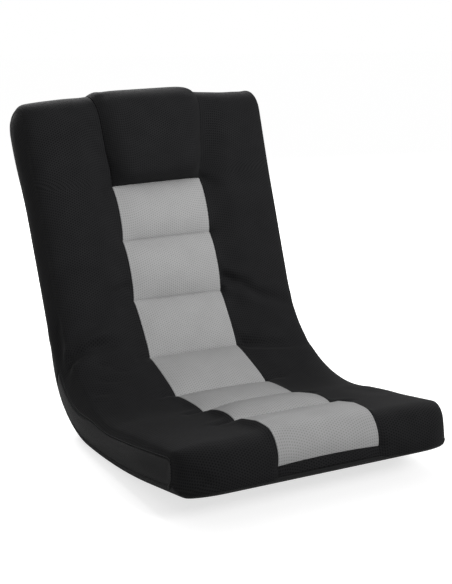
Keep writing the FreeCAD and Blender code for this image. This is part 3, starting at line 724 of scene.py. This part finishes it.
def free_share(held):
    """0 at held points, rising to 1 over the few rows and columns beside them."""
    free = (~held).astype(float).reshape(N_ROWS, LOOP)
    open_grid = free.copy()
    for _ in range(BLEND_STEPS):
        padded = np.pad(free, ((1, 1), (0, 0)), mode="edge")
        rows = (padded[:-2] + padded[1:-1] + padded[2:]) / 3
        free = (np.roll(rows, 1, axis=1) + rows + np.roll(rows, -1, axis=1)) / 3 * open_grid
    return free.ravel()[:, None]


def fill_cover(obj):
    """Swell the slack cloth under pressure between its held points, and keep the result."""
    mesh = obj.data
    held = held_points(mesh)
    share = free_share(held)
    drawn = coordinates(mesh)
    start = drawn - directions(mesh) * START_DEPTH * share
    mesh.vertices.foreach_set("co", start.ravel())
    obj.vertex_groups.new(name="held").add(np.nonzero(held)[0].tolist(), 1.0, "REPLACE")
    cloth = obj.modifiers.new("filling", "CLOTH")
    cloth.settings.vertex_group_mass = "held"
    cloth.settings.use_pressure = True
    cloth.settings.uniform_pressure_force = FILL_PRESSURE
    cloth.settings.shrink_min = -COVER_SLACK
    cloth.settings.effector_weights.gravity = 0
    cloth.collision_settings.use_collision = False
    cloth.point_cache.frame_end = FILL_FRAMES
    for number in range(1, FILL_FRAMES + 1):
        bpy.context.scene.frame_set(number)
    graph = bpy.context.evaluated_depsgraph_get()
    moved = coordinates(obj.evaluated_get(graph).data) - start
    obj.modifiers.remove(cloth)
    bpy.context.scene.frame_set(1)
    length = np.maximum(np.linalg.norm(moved, axis=1), 1e-9)
    moved *= np.minimum(1, SWELL_LIMIT / length)[:, None] * share
    mesh.vertices.foreach_set("co", (start + moved).ravel())
    mesh.update()


# Folds at the bend and tucks at the seams: places as (station, length across), width, depth.
# A low swell runs on both sides of each valley: its place and width are in widths of the valley,
# and its height is a share of the valley's depth.
SWELL_AT = 2.1
SWELL_WIDTH = 1.2
SWELL_SHARE = 0.4
FADE_SHARE = 0.5
OPEN_FADE_SHARE = 0.3
SEAM_NEAR = 5
FOLD_CLEAR = (HALF_PANEL + 1, HALF_PANEL + 16)

FOLDS = [
    ([(392, 96), (417, 145), (440, 170), (471, 248), (478, 275)], 10, 7.8),
    ([(532, 98), (556, 149), (564, 199), (562, 285)], 11, 8.5),
    ([(500, 180), (512, 230), (515, 262)], 14, -3.0),
    ([(440, 110), (470, 130), (490, 170)], 16, 2.5),
    ([(518, -250), (500, -215), (478, -175), (462, -140)], 13, -8.0),
    ([(545, -292), (528, -262), (507, -212), (505, -172), (508, -130)], 9, 10.0),
    ([(545, -216), (555, -178)], 5, 3.2),
    ([(562, -198), (572, -150)], 5, 3.4),
    ([(580, -236), (590, -190), (588, -140)], 6, 3.6),
    ([(610, -250), (622, -200)], 7, 3.0),
    ([(425, -262), (470, -280), (520, -288), (575, -300)], 14, 3.5),
    ([(394, -98), (400, -125), (410, -150)], 7, 4.0),
    ([(394, 98), (404, 120), (420, 140)], 7, 4.0),
    ([(536, -98), (540, -118), (548, -135)], 6, 3.0),
    ([(650, 98), (652, 125), (660, 145)], 7, 3.0),
    ([(650, -98), (653, -122), (662, -140)], 7, 3.0),
    ([(765, 98), (768, 122), (776, 140)], 7, 2.5),
    ([(765, -98), (768, -122), (776, -140)], 7, 2.5),
    ([(880, 98), (884, 125), (892, 145)], 8, 3.0),
    ([(880, -98), (884, -125), (892, -145)], 8, 3.0),
    ([(760, 232), (836, 236), (900, 240)], 16, -2.5),
    ([(1040, 130), (1048, 177), (1046, 230)], 18, 3.5),
    ([(1058, -250), (1063, -227), (1083, -190)], 6, 3.0),
    ([(195, 98), (205, 118), (222, 135)], 10, 4.0),
    ([(195, -98), (205, -118), (222, -135)], 10, 4.0),
]


def fold_depth(along, across, line, width, depth):
    """A soft valley along a line with a low swell on both sides, fading at its free ends."""
    nearest = np.full(len(along), np.inf)
    share = np.zeros(len(along))
    count = len(line) - 1
    for i in range(count):
        start, step = np.array(line[i]), np.subtract(line[i + 1], line[i])
        t = ((along - start[0]) * step[0] + (across - start[1]) * step[1]) / (step @ step)
        t = np.clip(t, 0, 1)
        distance = np.hypot(along - start[0] - step[0] * t, across - start[1] - step[1] * t)
        closer = distance < nearest
        nearest = np.where(closer, distance, nearest)
        share = np.where(closer, (i + t) / count, share)
    from_seam = abs(line[0][1]) < HALF_PANEL + SEAM_NEAR
    start_fade = 1 if from_seam else smooth(share, 0, OPEN_FADE_SHARE)
    fade = smooth(1 - share, 0, FADE_SHARE) * start_fade
    valley = np.exp(-(nearest / width) ** 2)
    swell = np.exp(-((nearest - SWELL_AT * width) / (SWELL_WIDTH * width)) ** 2)
    clear = smooth(abs(across), *FOLD_CLEAR)
    return depth * fade * clear * (valley - SWELL_SHARE * swell)


def press_folds(mesh):
    """Press the folds into the black cloth; the grey strip stays as it is."""
    along, across = float_attribute(mesh, "along"), float_attribute(mesh, "across")
    depth = sum(fold_depth(along, across, *fold) for fold in FOLDS)
    faces, owners, _ = face_table(mesh)
    inside = np.zeros(len(along), bool)
    inside[faces[owners == NAMES.index("center_panel")].ravel()] = True
    depth = np.where(inside, 0, depth) * MM
    points = coordinates(mesh) - directions(mesh) * depth[:, None]
    mesh.vertices.foreach_set("co", points.ravel())
    mesh.update()


cover = whole_cover()
fill_cover(cover)
smoothing = cover.modifiers.new("smoothing", "SUBSURF")
smoothing.levels = 1
smoothing.render_levels = 1
dense = baked(cover)
press_folds(dense)

# Pieces: each takes its faces of the cover, and is closed with an inner layer

FILL_DEPTH = 8.0 * MM
SEAM_SINK = 1.3 * MM


def closed_piece(name, faces, uvs, points, normals):
    """A closed shell: the faces, the same faces further in, and a strip along the open edges."""
    used, packed = np.unique(faces, return_inverse=True)
    packed = packed.reshape(faces.shape)
    count = len(used)
    edges = edges_of(packed)
    keys = edges[:, 0] * count + edges[:, 1]
    open_edges = edges[~np.isin(keys, edges[:, 1] * count + edges[:, 0])]
    rim = np.stack([open_edges[:, 1], open_edges[:, 0], open_edges[:, 0] + count,
                    open_edges[:, 1] + count], axis=1)
    outer = points[used]
    inner = outer - normals[used] * FILL_DEPTH
    polygons = np.concatenate([packed, packed[:, ::-1] + count, rim])
    mesh = bpy.data.meshes.new(name)
    mesh.from_pydata(np.concatenate([outer, inner]).tolist(), [], polygons.tolist())
    rim_uvs = np.zeros((len(rim), 4, 2))
    layer = mesh.uv_layers.new(name="cloth")
    layer.data.foreach_set("uv", np.concatenate([uvs, uvs[:, ::-1], rim_uvs]).ravel())
    mesh.polygons.foreach_set("use_smooth", np.ones(len(polygons), bool))
    return new_object(name, mesh)


def split_cover(mesh):
    """The pieces by name, with the cloth sunk a little where two of them are sewn."""
    faces, owners, uvs = face_table(mesh)
    points, normals = coordinates(mesh), directions(mesh)
    sunk = points - normals * (SEAM_SINK * seam_points(faces, owners, len(points)))[:, None]
    return {name: closed_piece(name, faces[owners == i], uvs[owners == i], sunk, normals)
            for i, name in enumerate(NAMES)}


PIECES = split_cover(dense)
SMOOTH_POINTS = coordinates(dense)[:N_ROWS * LOOP].reshape(N_ROWS, LOOP, 3)
bpy.data.objects.remove(cover)

# Materials

MATH = "ShaderNodeMath"
NOISE = "ShaderNodeTexNoise"
MIX = "ShaderNodeMix"
MAP = "ShaderNodeMapRange"
BUMP = "ShaderNodeBump"
SPLIT = "ShaderNodeSeparateXYZ"
PLACE = "ShaderNodeTexCoord"
SURFACE = "ShaderNodeBsdfPrincipled"
TIMES = {"operation": "MULTIPLY"}
PLUS = {"operation": "ADD"}
COSINE = {"operation": "COSINE"}
COLOURS = {"data_type": "RGBA"}


def linear(hex_colour):
    """An sRGB hex colour as linear red, green, blue and alpha."""
    values = [int(hex_colour[i:i + 2], 16) / 255 for i in (1, 3, 5)]
    return [v / 12.92 if v <= 0.04045 else ((v + 0.055) / 1.055) ** 2.4 for v in values] + [1.0]


def add(tree, kind, settings=None, **inputs):
    """A node with its settings; an input, by name or number, takes a value, socket or node."""
    node = tree.nodes.new(kind)
    for name, value in (settings or {}).items():
        setattr(node, name, value)
    for name, value in inputs.items():
        number = name[1:]
        socket = node.inputs[int(number) if number.isdigit() else name.replace("_", " ")]
        if isinstance(value, bpy.types.Node):
            value = value.outputs[0]
        if isinstance(value, bpy.types.NodeSocket):
            tree.links.new(value, socket)
        else:
            socket.default_value = value
    return node


def new_material(name):
    material = bpy.data.materials.new(name)
    material.use_nodes = True
    material.node_tree.nodes.clear()
    return material, material.node_tree


def cloth_place(tree):
    """The two lengths along the cloth, in metres, together and apart."""
    place = add(tree, "ShaderNodeUVMap", {"uv_map": "cloth"})
    return place, *add(tree, SPLIT, Vector=place).outputs[:2]


def wave_along(tree, u, v, angle, pitch):
    """A cosine that repeats each pitch along one direction of the cloth."""
    turn = 2 * math.pi / pitch
    angle = math.radians(angle)
    reach = add(tree, MATH, TIMES, i0=u, i1=math.cos(angle) * turn)
    total = add(tree, MATH, {"operation": "MULTIPLY_ADD"}, i0=v, i1=math.sin(angle) * turn,
                i2=reach)
    return add(tree, MATH, COSINE, i0=total)


# Air mesh: polyester knitted in two faces with a spacer between them. Its face has small open
# cells in staggered rows, so it looks matt, soft and finely dotted. The cells are coloured darker,
# partly for the spacer seen through them and partly as painted shade inside them. The real
# cells are nearer 2.5 mm apart, and are drawn coarser to show in the view.
CELL_PITCH = 4.4 * MM
CELL_OPEN = 2.4
CELL_DEPTH = 0.5 * MM
MESH_PATCH = 45 * MM
MESH_FUZZ = 1.2 * MM


def air_mesh(name, thread, shaded_hole, sheen, closed):
    """closed is the sum of the three waves at which a cell begins to open."""
    material, tree = new_material(name)
    place, u, v = cloth_place(tree)
    waves = [wave_along(tree, u, v, angle, CELL_PITCH) for angle in (0, 60, 120)]
    cells = add(tree, MATH, PLUS, i0=add(tree, MATH, PLUS, i0=waves[0], i1=waves[1]), i1=waves[2])
    opening = add(tree, MAP, Value=cells, From_Min=closed, From_Max=CELL_OPEN)
    cloudy = add(tree, NOISE, Vector=place, Scale=1 / MESH_PATCH)
    patches = add(tree, MAP, Value=cloudy, From_Min=0.3, From_Max=0.7, To_Max=0.16)
    face = add(tree, MIX, COLOURS, i0=patches, i6=linear(thread), i7=linear(shaded_hole)).outputs[2]
    # Painted shade: the open cells are darkened towards the hole colour, standing in for the shade
    # inside them
    painted_cell_shade = add(tree, MATH, TIMES, i0=opening, i1=0.85)
    colour = add(tree, MIX, COLOURS, i0=painted_cell_shade, i6=face, i7=linear(shaded_hole)).outputs[2]
    fuzz = add(tree, NOISE, Vector=place, Scale=1 / MESH_FUZZ)
    height = add(tree, MATH, {"operation": "SUBTRACT"}, i0=add(tree, MATH, TIMES, i0=fuzz, i1=0.5),
                 i1=opening)
    bump = add(tree, BUMP, Height=height, Strength=0.5, Distance=CELL_DEPTH)
    shader = add(tree, SURFACE, Base_Color=colour, Normal=bump, Roughness=0.9,
                 Specular_IOR_Level=0.06, Sheen_Weight=sheen, Sheen_Roughness=0.5)
    add(tree, "ShaderNodeOutputMaterial", Surface=shader)
    return material


# Woven polyester: yarns that cross over and under each other, so it looks flat and even, with a
# grain that is finer than the mesh and a dull shine. Thread is twisted from the same yarn.
WEAVE_DEPTH = 0.25 * MM
WEAVE_PATCH = 30 * MM


def woven(name, colour, shade, pitch, sheen=0.1):
    material, tree = new_material(name)
    place, u, v = cloth_place(tree)
    over = add(tree, MATH, TIMES, i0=wave_along(tree, u, v, 0, 2 * pitch),
               i1=wave_along(tree, u, v, 90, 2 * pitch))
    patches = add(tree, NOISE, Vector=place, Scale=1 / WEAVE_PATCH)
    yarn = add(tree, MATH, TIMES, i0=add(tree, MATH, PLUS, i0=over, i1=1.0), i1=0.3)
    share = add(tree, MATH, PLUS, i0=yarn, i1=add(tree, MATH, TIMES, i0=patches, i1=0.3))
    colour = add(tree, MIX, COLOURS, i0=share, i6=linear(shade), i7=linear(colour)).outputs[2]
    bump = add(tree, BUMP, Height=over, Strength=0.4, Distance=WEAVE_DEPTH)
    shader = add(tree, SURFACE, Base_Color=colour, Normal=bump, Roughness=0.8,
                 Specular_IOR_Level=0.25, Sheen_Weight=sheen)
    add(tree, "ShaderNodeOutputMaterial", Surface=shader)
    return material


def metal(name, colour, shade, roughness, metallic, grain, bump_height):
    """A metal or its coating: a colour with fine mottling and an uneven gloss."""
    material, tree = new_material(name)
    place = add(tree, PLACE).outputs["Object"]
    mottle = add(tree, NOISE, Vector=place, Scale=1 / grain, Detail=4.0)
    colour = add(tree, MIX, COLOURS, i0=mottle, i6=linear(colour), i7=linear(shade)).outputs[2]
    gloss = add(tree, MAP, Value=mottle, From_Min=0.3, From_Max=0.7, To_Min=roughness - 0.08,
                To_Max=roughness + 0.08)
    bump = add(tree, BUMP, Height=mottle, Strength=0.3, Distance=bump_height)
    shader = add(tree, SURFACE, Base_Color=colour, Normal=bump, Roughness=gloss, Metallic=metallic)
    add(tree, "ShaderNodeOutputMaterial", Surface=shader)
    return material


# Birch plywood: rotary-cut veneer, which gives it long drawn-out grain on a pale matt face
GRAIN_LENGTH = 83.3 * MM
GRAIN_STRETCH = (1.0, 14.0, 14.0)
GRAIN_DEPTH = 0.2 * MM


def plywood(name, colour, shade):
    material, tree = new_material(name)
    place = add(tree, PLACE).outputs["Object"]
    stretched = add(tree, "ShaderNodeMapping", Vector=place, Scale=GRAIN_STRETCH)
    grain = add(tree, NOISE, Vector=stretched, Scale=1 / GRAIN_LENGTH, Detail=6.0, Distortion=0.6)
    colour = add(tree, MIX, COLOURS, i0=grain, i6=linear(colour), i7=linear(shade)).outputs[2]
    bump = add(tree, BUMP, Height=grain, Strength=0.2, Distance=GRAIN_DEPTH)
    shader = add(tree, SURFACE, Base_Color=colour, Normal=bump, Roughness=0.6)
    add(tree, "ShaderNodeOutputMaterial", Surface=shader)
    return material


# Elastic webbing: rubber threads woven into a strap, which show as ribs along it
STRAP_RIB = 3 * MM
STRAP_DEPTH = 0.3 * MM


def webbing(name, colour, shade):
    material, tree = new_material(name)
    place = add(tree, PLACE).outputs["Object"]
    height = add(tree, SPLIT, Vector=place).outputs[2]
    ribs = add(tree, MATH, COSINE, i0=add(tree, MATH, TIMES, i0=height, i1=2 * math.pi / STRAP_RIB))
    share = add(tree, MAP, Value=ribs, From_Min=-1.0, From_Max=1.0)
    colour = add(tree, MIX, COLOURS, i0=share, i6=linear(shade), i7=linear(colour)).outputs[2]
    bump = add(tree, BUMP, Height=ribs, Strength=0.5, Distance=STRAP_DEPTH)
    shader = add(tree, SURFACE, Base_Color=colour, Normal=bump, Roughness=0.85)
    add(tree, "ShaderNodeOutputMaterial", Surface=shader)
    return material


BLACK_MESH = air_mesh("black_air_mesh", "#222223", "#040405", 0.02, -1.2)
GREY_MESH = air_mesh("grey_air_mesh", "#979797", "#787878", 0.03, 0.6)
BASE_CLOTH = woven("black_woven_polyester", "#101011", "#070708", 0.9 * MM, 0.04)
BLACK_THREAD = woven("black_thread", "#2c2c2d", "#202021", 0.4 * MM)
GREY_THREAD = woven("grey_thread", "#858585", "#6f6f6f", 0.4 * MM)
# Zinc plating over stamped steel: pale, slightly blue and softly bright
ZINC = metal("zinc_plated_steel", "#b4b8bc", "#969a9e", 0.38, 1.0, 6 * MM, 0.05 * MM)
# Powder coat baked on tube: black and half matt, with a fine orange-peel surface
BLACK_COAT = metal("black_powder_coat", "#1c1c1d", "#262627", 0.45, 0.0, 1.5 * MM, 0.1 * MM)
# Spring steel blued by its hardening: dark blue-grey and smooth
BLUED = metal("blued_spring_steel", "#2b3140", "#3b3f49", 0.3, 1.0, 4 * MM, 0.03 * MM)
BIRCH = plywood("birch_plywood", "#c9a878", "#a98552")
STRAP = webbing("elastic_webbing", "#2b2b2c", "#1b1b1c")

NODE_MATERIALS = {
    "seat_frame": BLACK_COAT, "seat_cross_tubes": BLACK_COAT, "rocker_rails": BLACK_COAT,
    "back_frame": BLACK_COAT, "back_cross_tubes": BLACK_COAT, "hinge_cheeks": ZINC,
    "hinge_rivets": ZINC, "pawl_pins": ZINC, "ratchet_plates": ZINC, "left_pawl": ZINC,
    "right_pawl": ZINC, "pawl_springs": BLUED, "seat_board": BIRCH, "back_webbing": STRAP,
}
for node, material in NODE_MATERIALS.items():
    for material_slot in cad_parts[node].material_slots:
        material_slot.material = material

# What each piece is made of, moves with and stands for


def bend_with_back(piece):
    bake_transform(piece)


def dress(name, material, replaced, body=None):
    """Finish a padded piece; without a body its transform is baked into its mesh."""
    piece = PIECES[name]
    piece.data.materials.append(material)
    if body:
        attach(piece, body)
    else:
        bend_with_back(piece)
    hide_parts(*replaced)


for hand in ("left", "right"):
    dress(hand + "_bolster", BLACK_MESH,
          [f"{hand}_{part}_bolster" for part in ("seat", "bend", "back")])
    dress(hand + "_band_cover", BASE_CLOTH,
          [hand + "_side_band", hand + "_bend_side_band"])
dress("center_panel", GREY_MESH,
      ["seat_center_panel", "bend_center_panel", "back_center_panel", "seat_foam", "bend_foam",
       "back_foam"])
dress("headrest", BLACK_MESH, ["headrest_pad"], "backrest")
dress("front_band_cover", BLACK_MESH, ["front_band"], "seat_base")
dress("rear_cover", BASE_CLOTH, ["back_rear_cover", "heel_cover"])
dress("base_cloth_cover", BASE_CLOTH, ["base_cover", "base_pads"])

# Stitches: how short and how long half a loop is, as shares of the stitch's length
SHORT_HALF = 0.42
LONG_HALF = 0.52
STITCH_SEED = 11
LOOP_SEGMENTS = 8
LOOP_RINGS = 5


def stitch_tree():
    """Thread loops along a line, one each pitch, with slightly uneven lengths."""
    tree = bpy.data.node_groups.new("stitches", "GeometryNodeTree")
    given = [("Line", "Geometry"), ("Pitch", "Float"), ("Length", "Float"), ("Radius", "Float"),
             ("Thread", "Material")]
    for name, kind in given:
        tree.interface.new_socket(name, in_out="INPUT", socket_type="NodeSocket" + kind)
    tree.interface.new_socket("Stitches", in_out="OUTPUT", socket_type="NodeSocketGeometry")
    inputs = add(tree, "NodeGroupInput").outputs
    curve = add(tree, "GeometryNodeMeshToCurve", Mesh=inputs["Line"])
    even = add(tree, "GeometryNodeResampleCurve", {"mode": "LENGTH"}, Curve=curve,
               Length=inputs["Pitch"])
    loop = add(tree, "GeometryNodeMeshUVSphere", Segments=LOOP_SEGMENTS, Rings=LOOP_RINGS,
               Radius=1.0)
    tangent = add(tree, "GeometryNodeInputTangent")
    turn = add(tree, "FunctionNodeAlignRotationToVector", {"axis": "Z"}, Vector=tangent)
    uneven = add(tree, "FunctionNodeRandomValue", {"data_type": "FLOAT"}, i2=SHORT_HALF,
                 i3=LONG_HALF, Seed=STITCH_SEED).outputs[1]
    half = add(tree, MATH, TIMES, i0=inputs["Length"], i1=uneven)
    scale = add(tree, "ShaderNodeCombineXYZ", X=inputs["Radius"], Y=inputs["Radius"], Z=half)
    placed = add(tree, "GeometryNodeInstanceOnPoints", Points=even, Instance=loop, Rotation=turn,
                 Scale=scale)
    real = add(tree, "GeometryNodeRealizeInstances", Geometry=placed)
    soft = add(tree, "GeometryNodeSetShadeSmooth", Geometry=real)
    dressed = add(tree, "GeometryNodeSetMaterial", Geometry=soft, Material=inputs["Thread"])
    add(tree, "NodeGroupOutput", Stitches=dressed)
    return tree


STITCHES = stitch_tree()


def sew(name, lines, slot, **values):
    """Stitches along lines of points, with the transform baked in; the values are the tree's
    inputs.
    """
    points, edges = [], []
    for line in lines:
        edges += [(len(points) + i, len(points) + i + 1) for i in range(len(line) - 1)]
        points += [tuple(point) for point in line]
    mesh = bpy.data.meshes.new(name)
    mesh.from_pydata(points, edges, [])
    piece = new_object(name, mesh)
    modifier = piece.modifiers.new("stitches", "NODES")
    modifier.node_group = STITCHES
    for item in STITCHES.interface.items_tree:
        if item.name in values:
            modifier[item.identifier] = values[item.name]
    baked(piece)
    bend_with_back(piece)


sew("rib_stitches", [SMOOTH_POINTS[k, STRIP_START + 1:STRIP_END] for k in SEAM_ROWS[1:-1]],
    "grey_mesh", Thread=GREY_THREAD, Pitch=4.0 * MM, Length=3.4 * MM, Radius=0.3 * MM)
BAND_ROWS = slice(BAND_FIRST, BAND_LAST + 1)
sew("band_stitches", [SMOOTH_POINTS[BAND_ROWS, c] for c in (LEFT_BAND - 1, RIGHT_BAND + 1)],
    "black_mesh", Thread=BLACK_THREAD, Pitch=4.5 * MM, Length=3.6 * MM, Radius=0.45 * MM)

# Floor: matt pale paint, rolled on, which gives it a faint stipple. The camera alone sees extra
# light on it, which whitens it and keeps the soft shadow.
FLOOR_HALF = 20
FLOOR_STIPPLE = 4 * MM
FLOOR_LIFT = 0.7


def painted_board(name, colour, shade):
    material, tree = new_material(name)
    place = add(tree, PLACE).outputs["Object"]
    stipple = add(tree, NOISE, Vector=place, Scale=1 / FLOOR_STIPPLE)
    share = add(tree, MATH, TIMES, i0=stipple, i1=0.05)
    paint = add(tree, MIX, COLOURS, i0=share, i6=linear(colour), i7=linear(shade)).outputs[2]
    seen = add(tree, "ShaderNodeLightPath").outputs["Is Camera Ray"]
    lift = add(tree, MATH, TIMES, i0=seen, i1=FLOOR_LIFT)
    shader = add(tree, SURFACE, Base_Color=paint, Roughness=0.95, Specular_IOR_Level=0.0,
                 Emission_Color=(1, 1, 1, 1), Emission_Strength=lift)
    add(tree, "ShaderNodeOutputMaterial", Surface=shader)
    return material


def stage_floor():
    mesh = bpy.data.meshes.new("studio_floor")
    corners = [(x * FLOOR_HALF, y * FLOOR_HALF, 0) for x, y in ((-1, -1), (1, -1), (1, 1), (-1, 1))]
    mesh.from_pydata(corners, [], [(0, 1, 2, 3)])
    mesh.materials.append(painted_board("matt_pale_floor_paint", "#c4c4c4", "#b4b4b4"))
    new_object("studio_floor", mesh)


# Light: an even white dome that is weaker low down, a small soft lamp in front and a large one
# behind, which draws the top edges
SKY_LIGHT = 0.62
SKY_LOW_SHARE = 0.3


def studio_sky():
    """White light, stronger from above; the camera sees it as plain white."""
    world = bpy.data.worlds.new("studio")
    bpy.context.scene.world = world
    world.use_nodes = True
    tree = world.node_tree
    seen = add(tree, "ShaderNodeLightPath").outputs["Is Camera Ray"]
    direction = add(tree, PLACE).outputs["Generated"]
    height = add(tree, SPLIT, Vector=direction).outputs[2]
    dome = add(tree, MAP, Value=height, From_Min=-0.1, From_Max=0.8,
               To_Min=SKY_LIGHT * SKY_LOW_SHARE, To_Max=SKY_LIGHT)
    level = add(tree, MIX, {"data_type": "FLOAT"}, i0=seen, i2=dome, i3=1.0)
    background = tree.nodes["Background"]
    tree.links.new(level.outputs[0], background.inputs["Strength"])
    background.inputs["Color"].default_value = (1, 1, 1, 1)


def softbox(name, place, size, energy, aim, spread):
    lamp = bpy.data.objects.new(name, bpy.data.lights.new(name, "AREA"))
    lamp.data.size = size
    lamp.data.energy = energy
    lamp.location = place
    lamp.data.spread = math.radians(spread)
    lamp.rotation_euler = (Vector(aim) - Vector(place)).to_track_quat("-Z", "Y").to_euler()
    bpy.context.scene.collection.objects.link(lamp)


stage_floor()
studio_sky()
softbox("key", (0.5, -1.9, 1.4), size=0.8, energy=6.5, aim=(0, 0.25, 0.55), spread=60)
softbox("rim", (0.2, 2.6, 1.95), size=1.4, energy=150, aim=(0, 0.3, 0.5), spread=180)

# Camera: fitted to the chair's parallel edges; the focal length is in pixels of the picture
FOCAL_PIXELS = 1142.9
PICTURE_HEIGHT = 584
SENSOR = 36
CAMERA_PLACE = (-0.9479, -1.8736, 0.7679)
CAMERA_AZIMUTH = math.radians(-27.85)
CAMERA_ELEVATION = math.radians(13.5)

camera = bpy.data.objects.new("camera", bpy.data.cameras.new("camera"))
bpy.context.scene.collection.objects.link(camera)
camera.data.sensor_width = SENSOR
camera.data.lens = FOCAL_PIXELS / PICTURE_HEIGHT * SENSOR
camera.location = CAMERA_PLACE
back = Vector((math.sin(CAMERA_AZIMUTH) * math.cos(CAMERA_ELEVATION),
               -math.cos(CAMERA_AZIMUTH) * math.cos(CAMERA_ELEVATION),
               math.sin(CAMERA_ELEVATION)))
camera.rotation_mode = "QUATERNION"
camera.rotation_quaternion = (-back).to_track_quat("-Z", "Y")
bpy.context.scene.camera = camera
bpy.context.scene.view_settings.view_transform = "Standard"
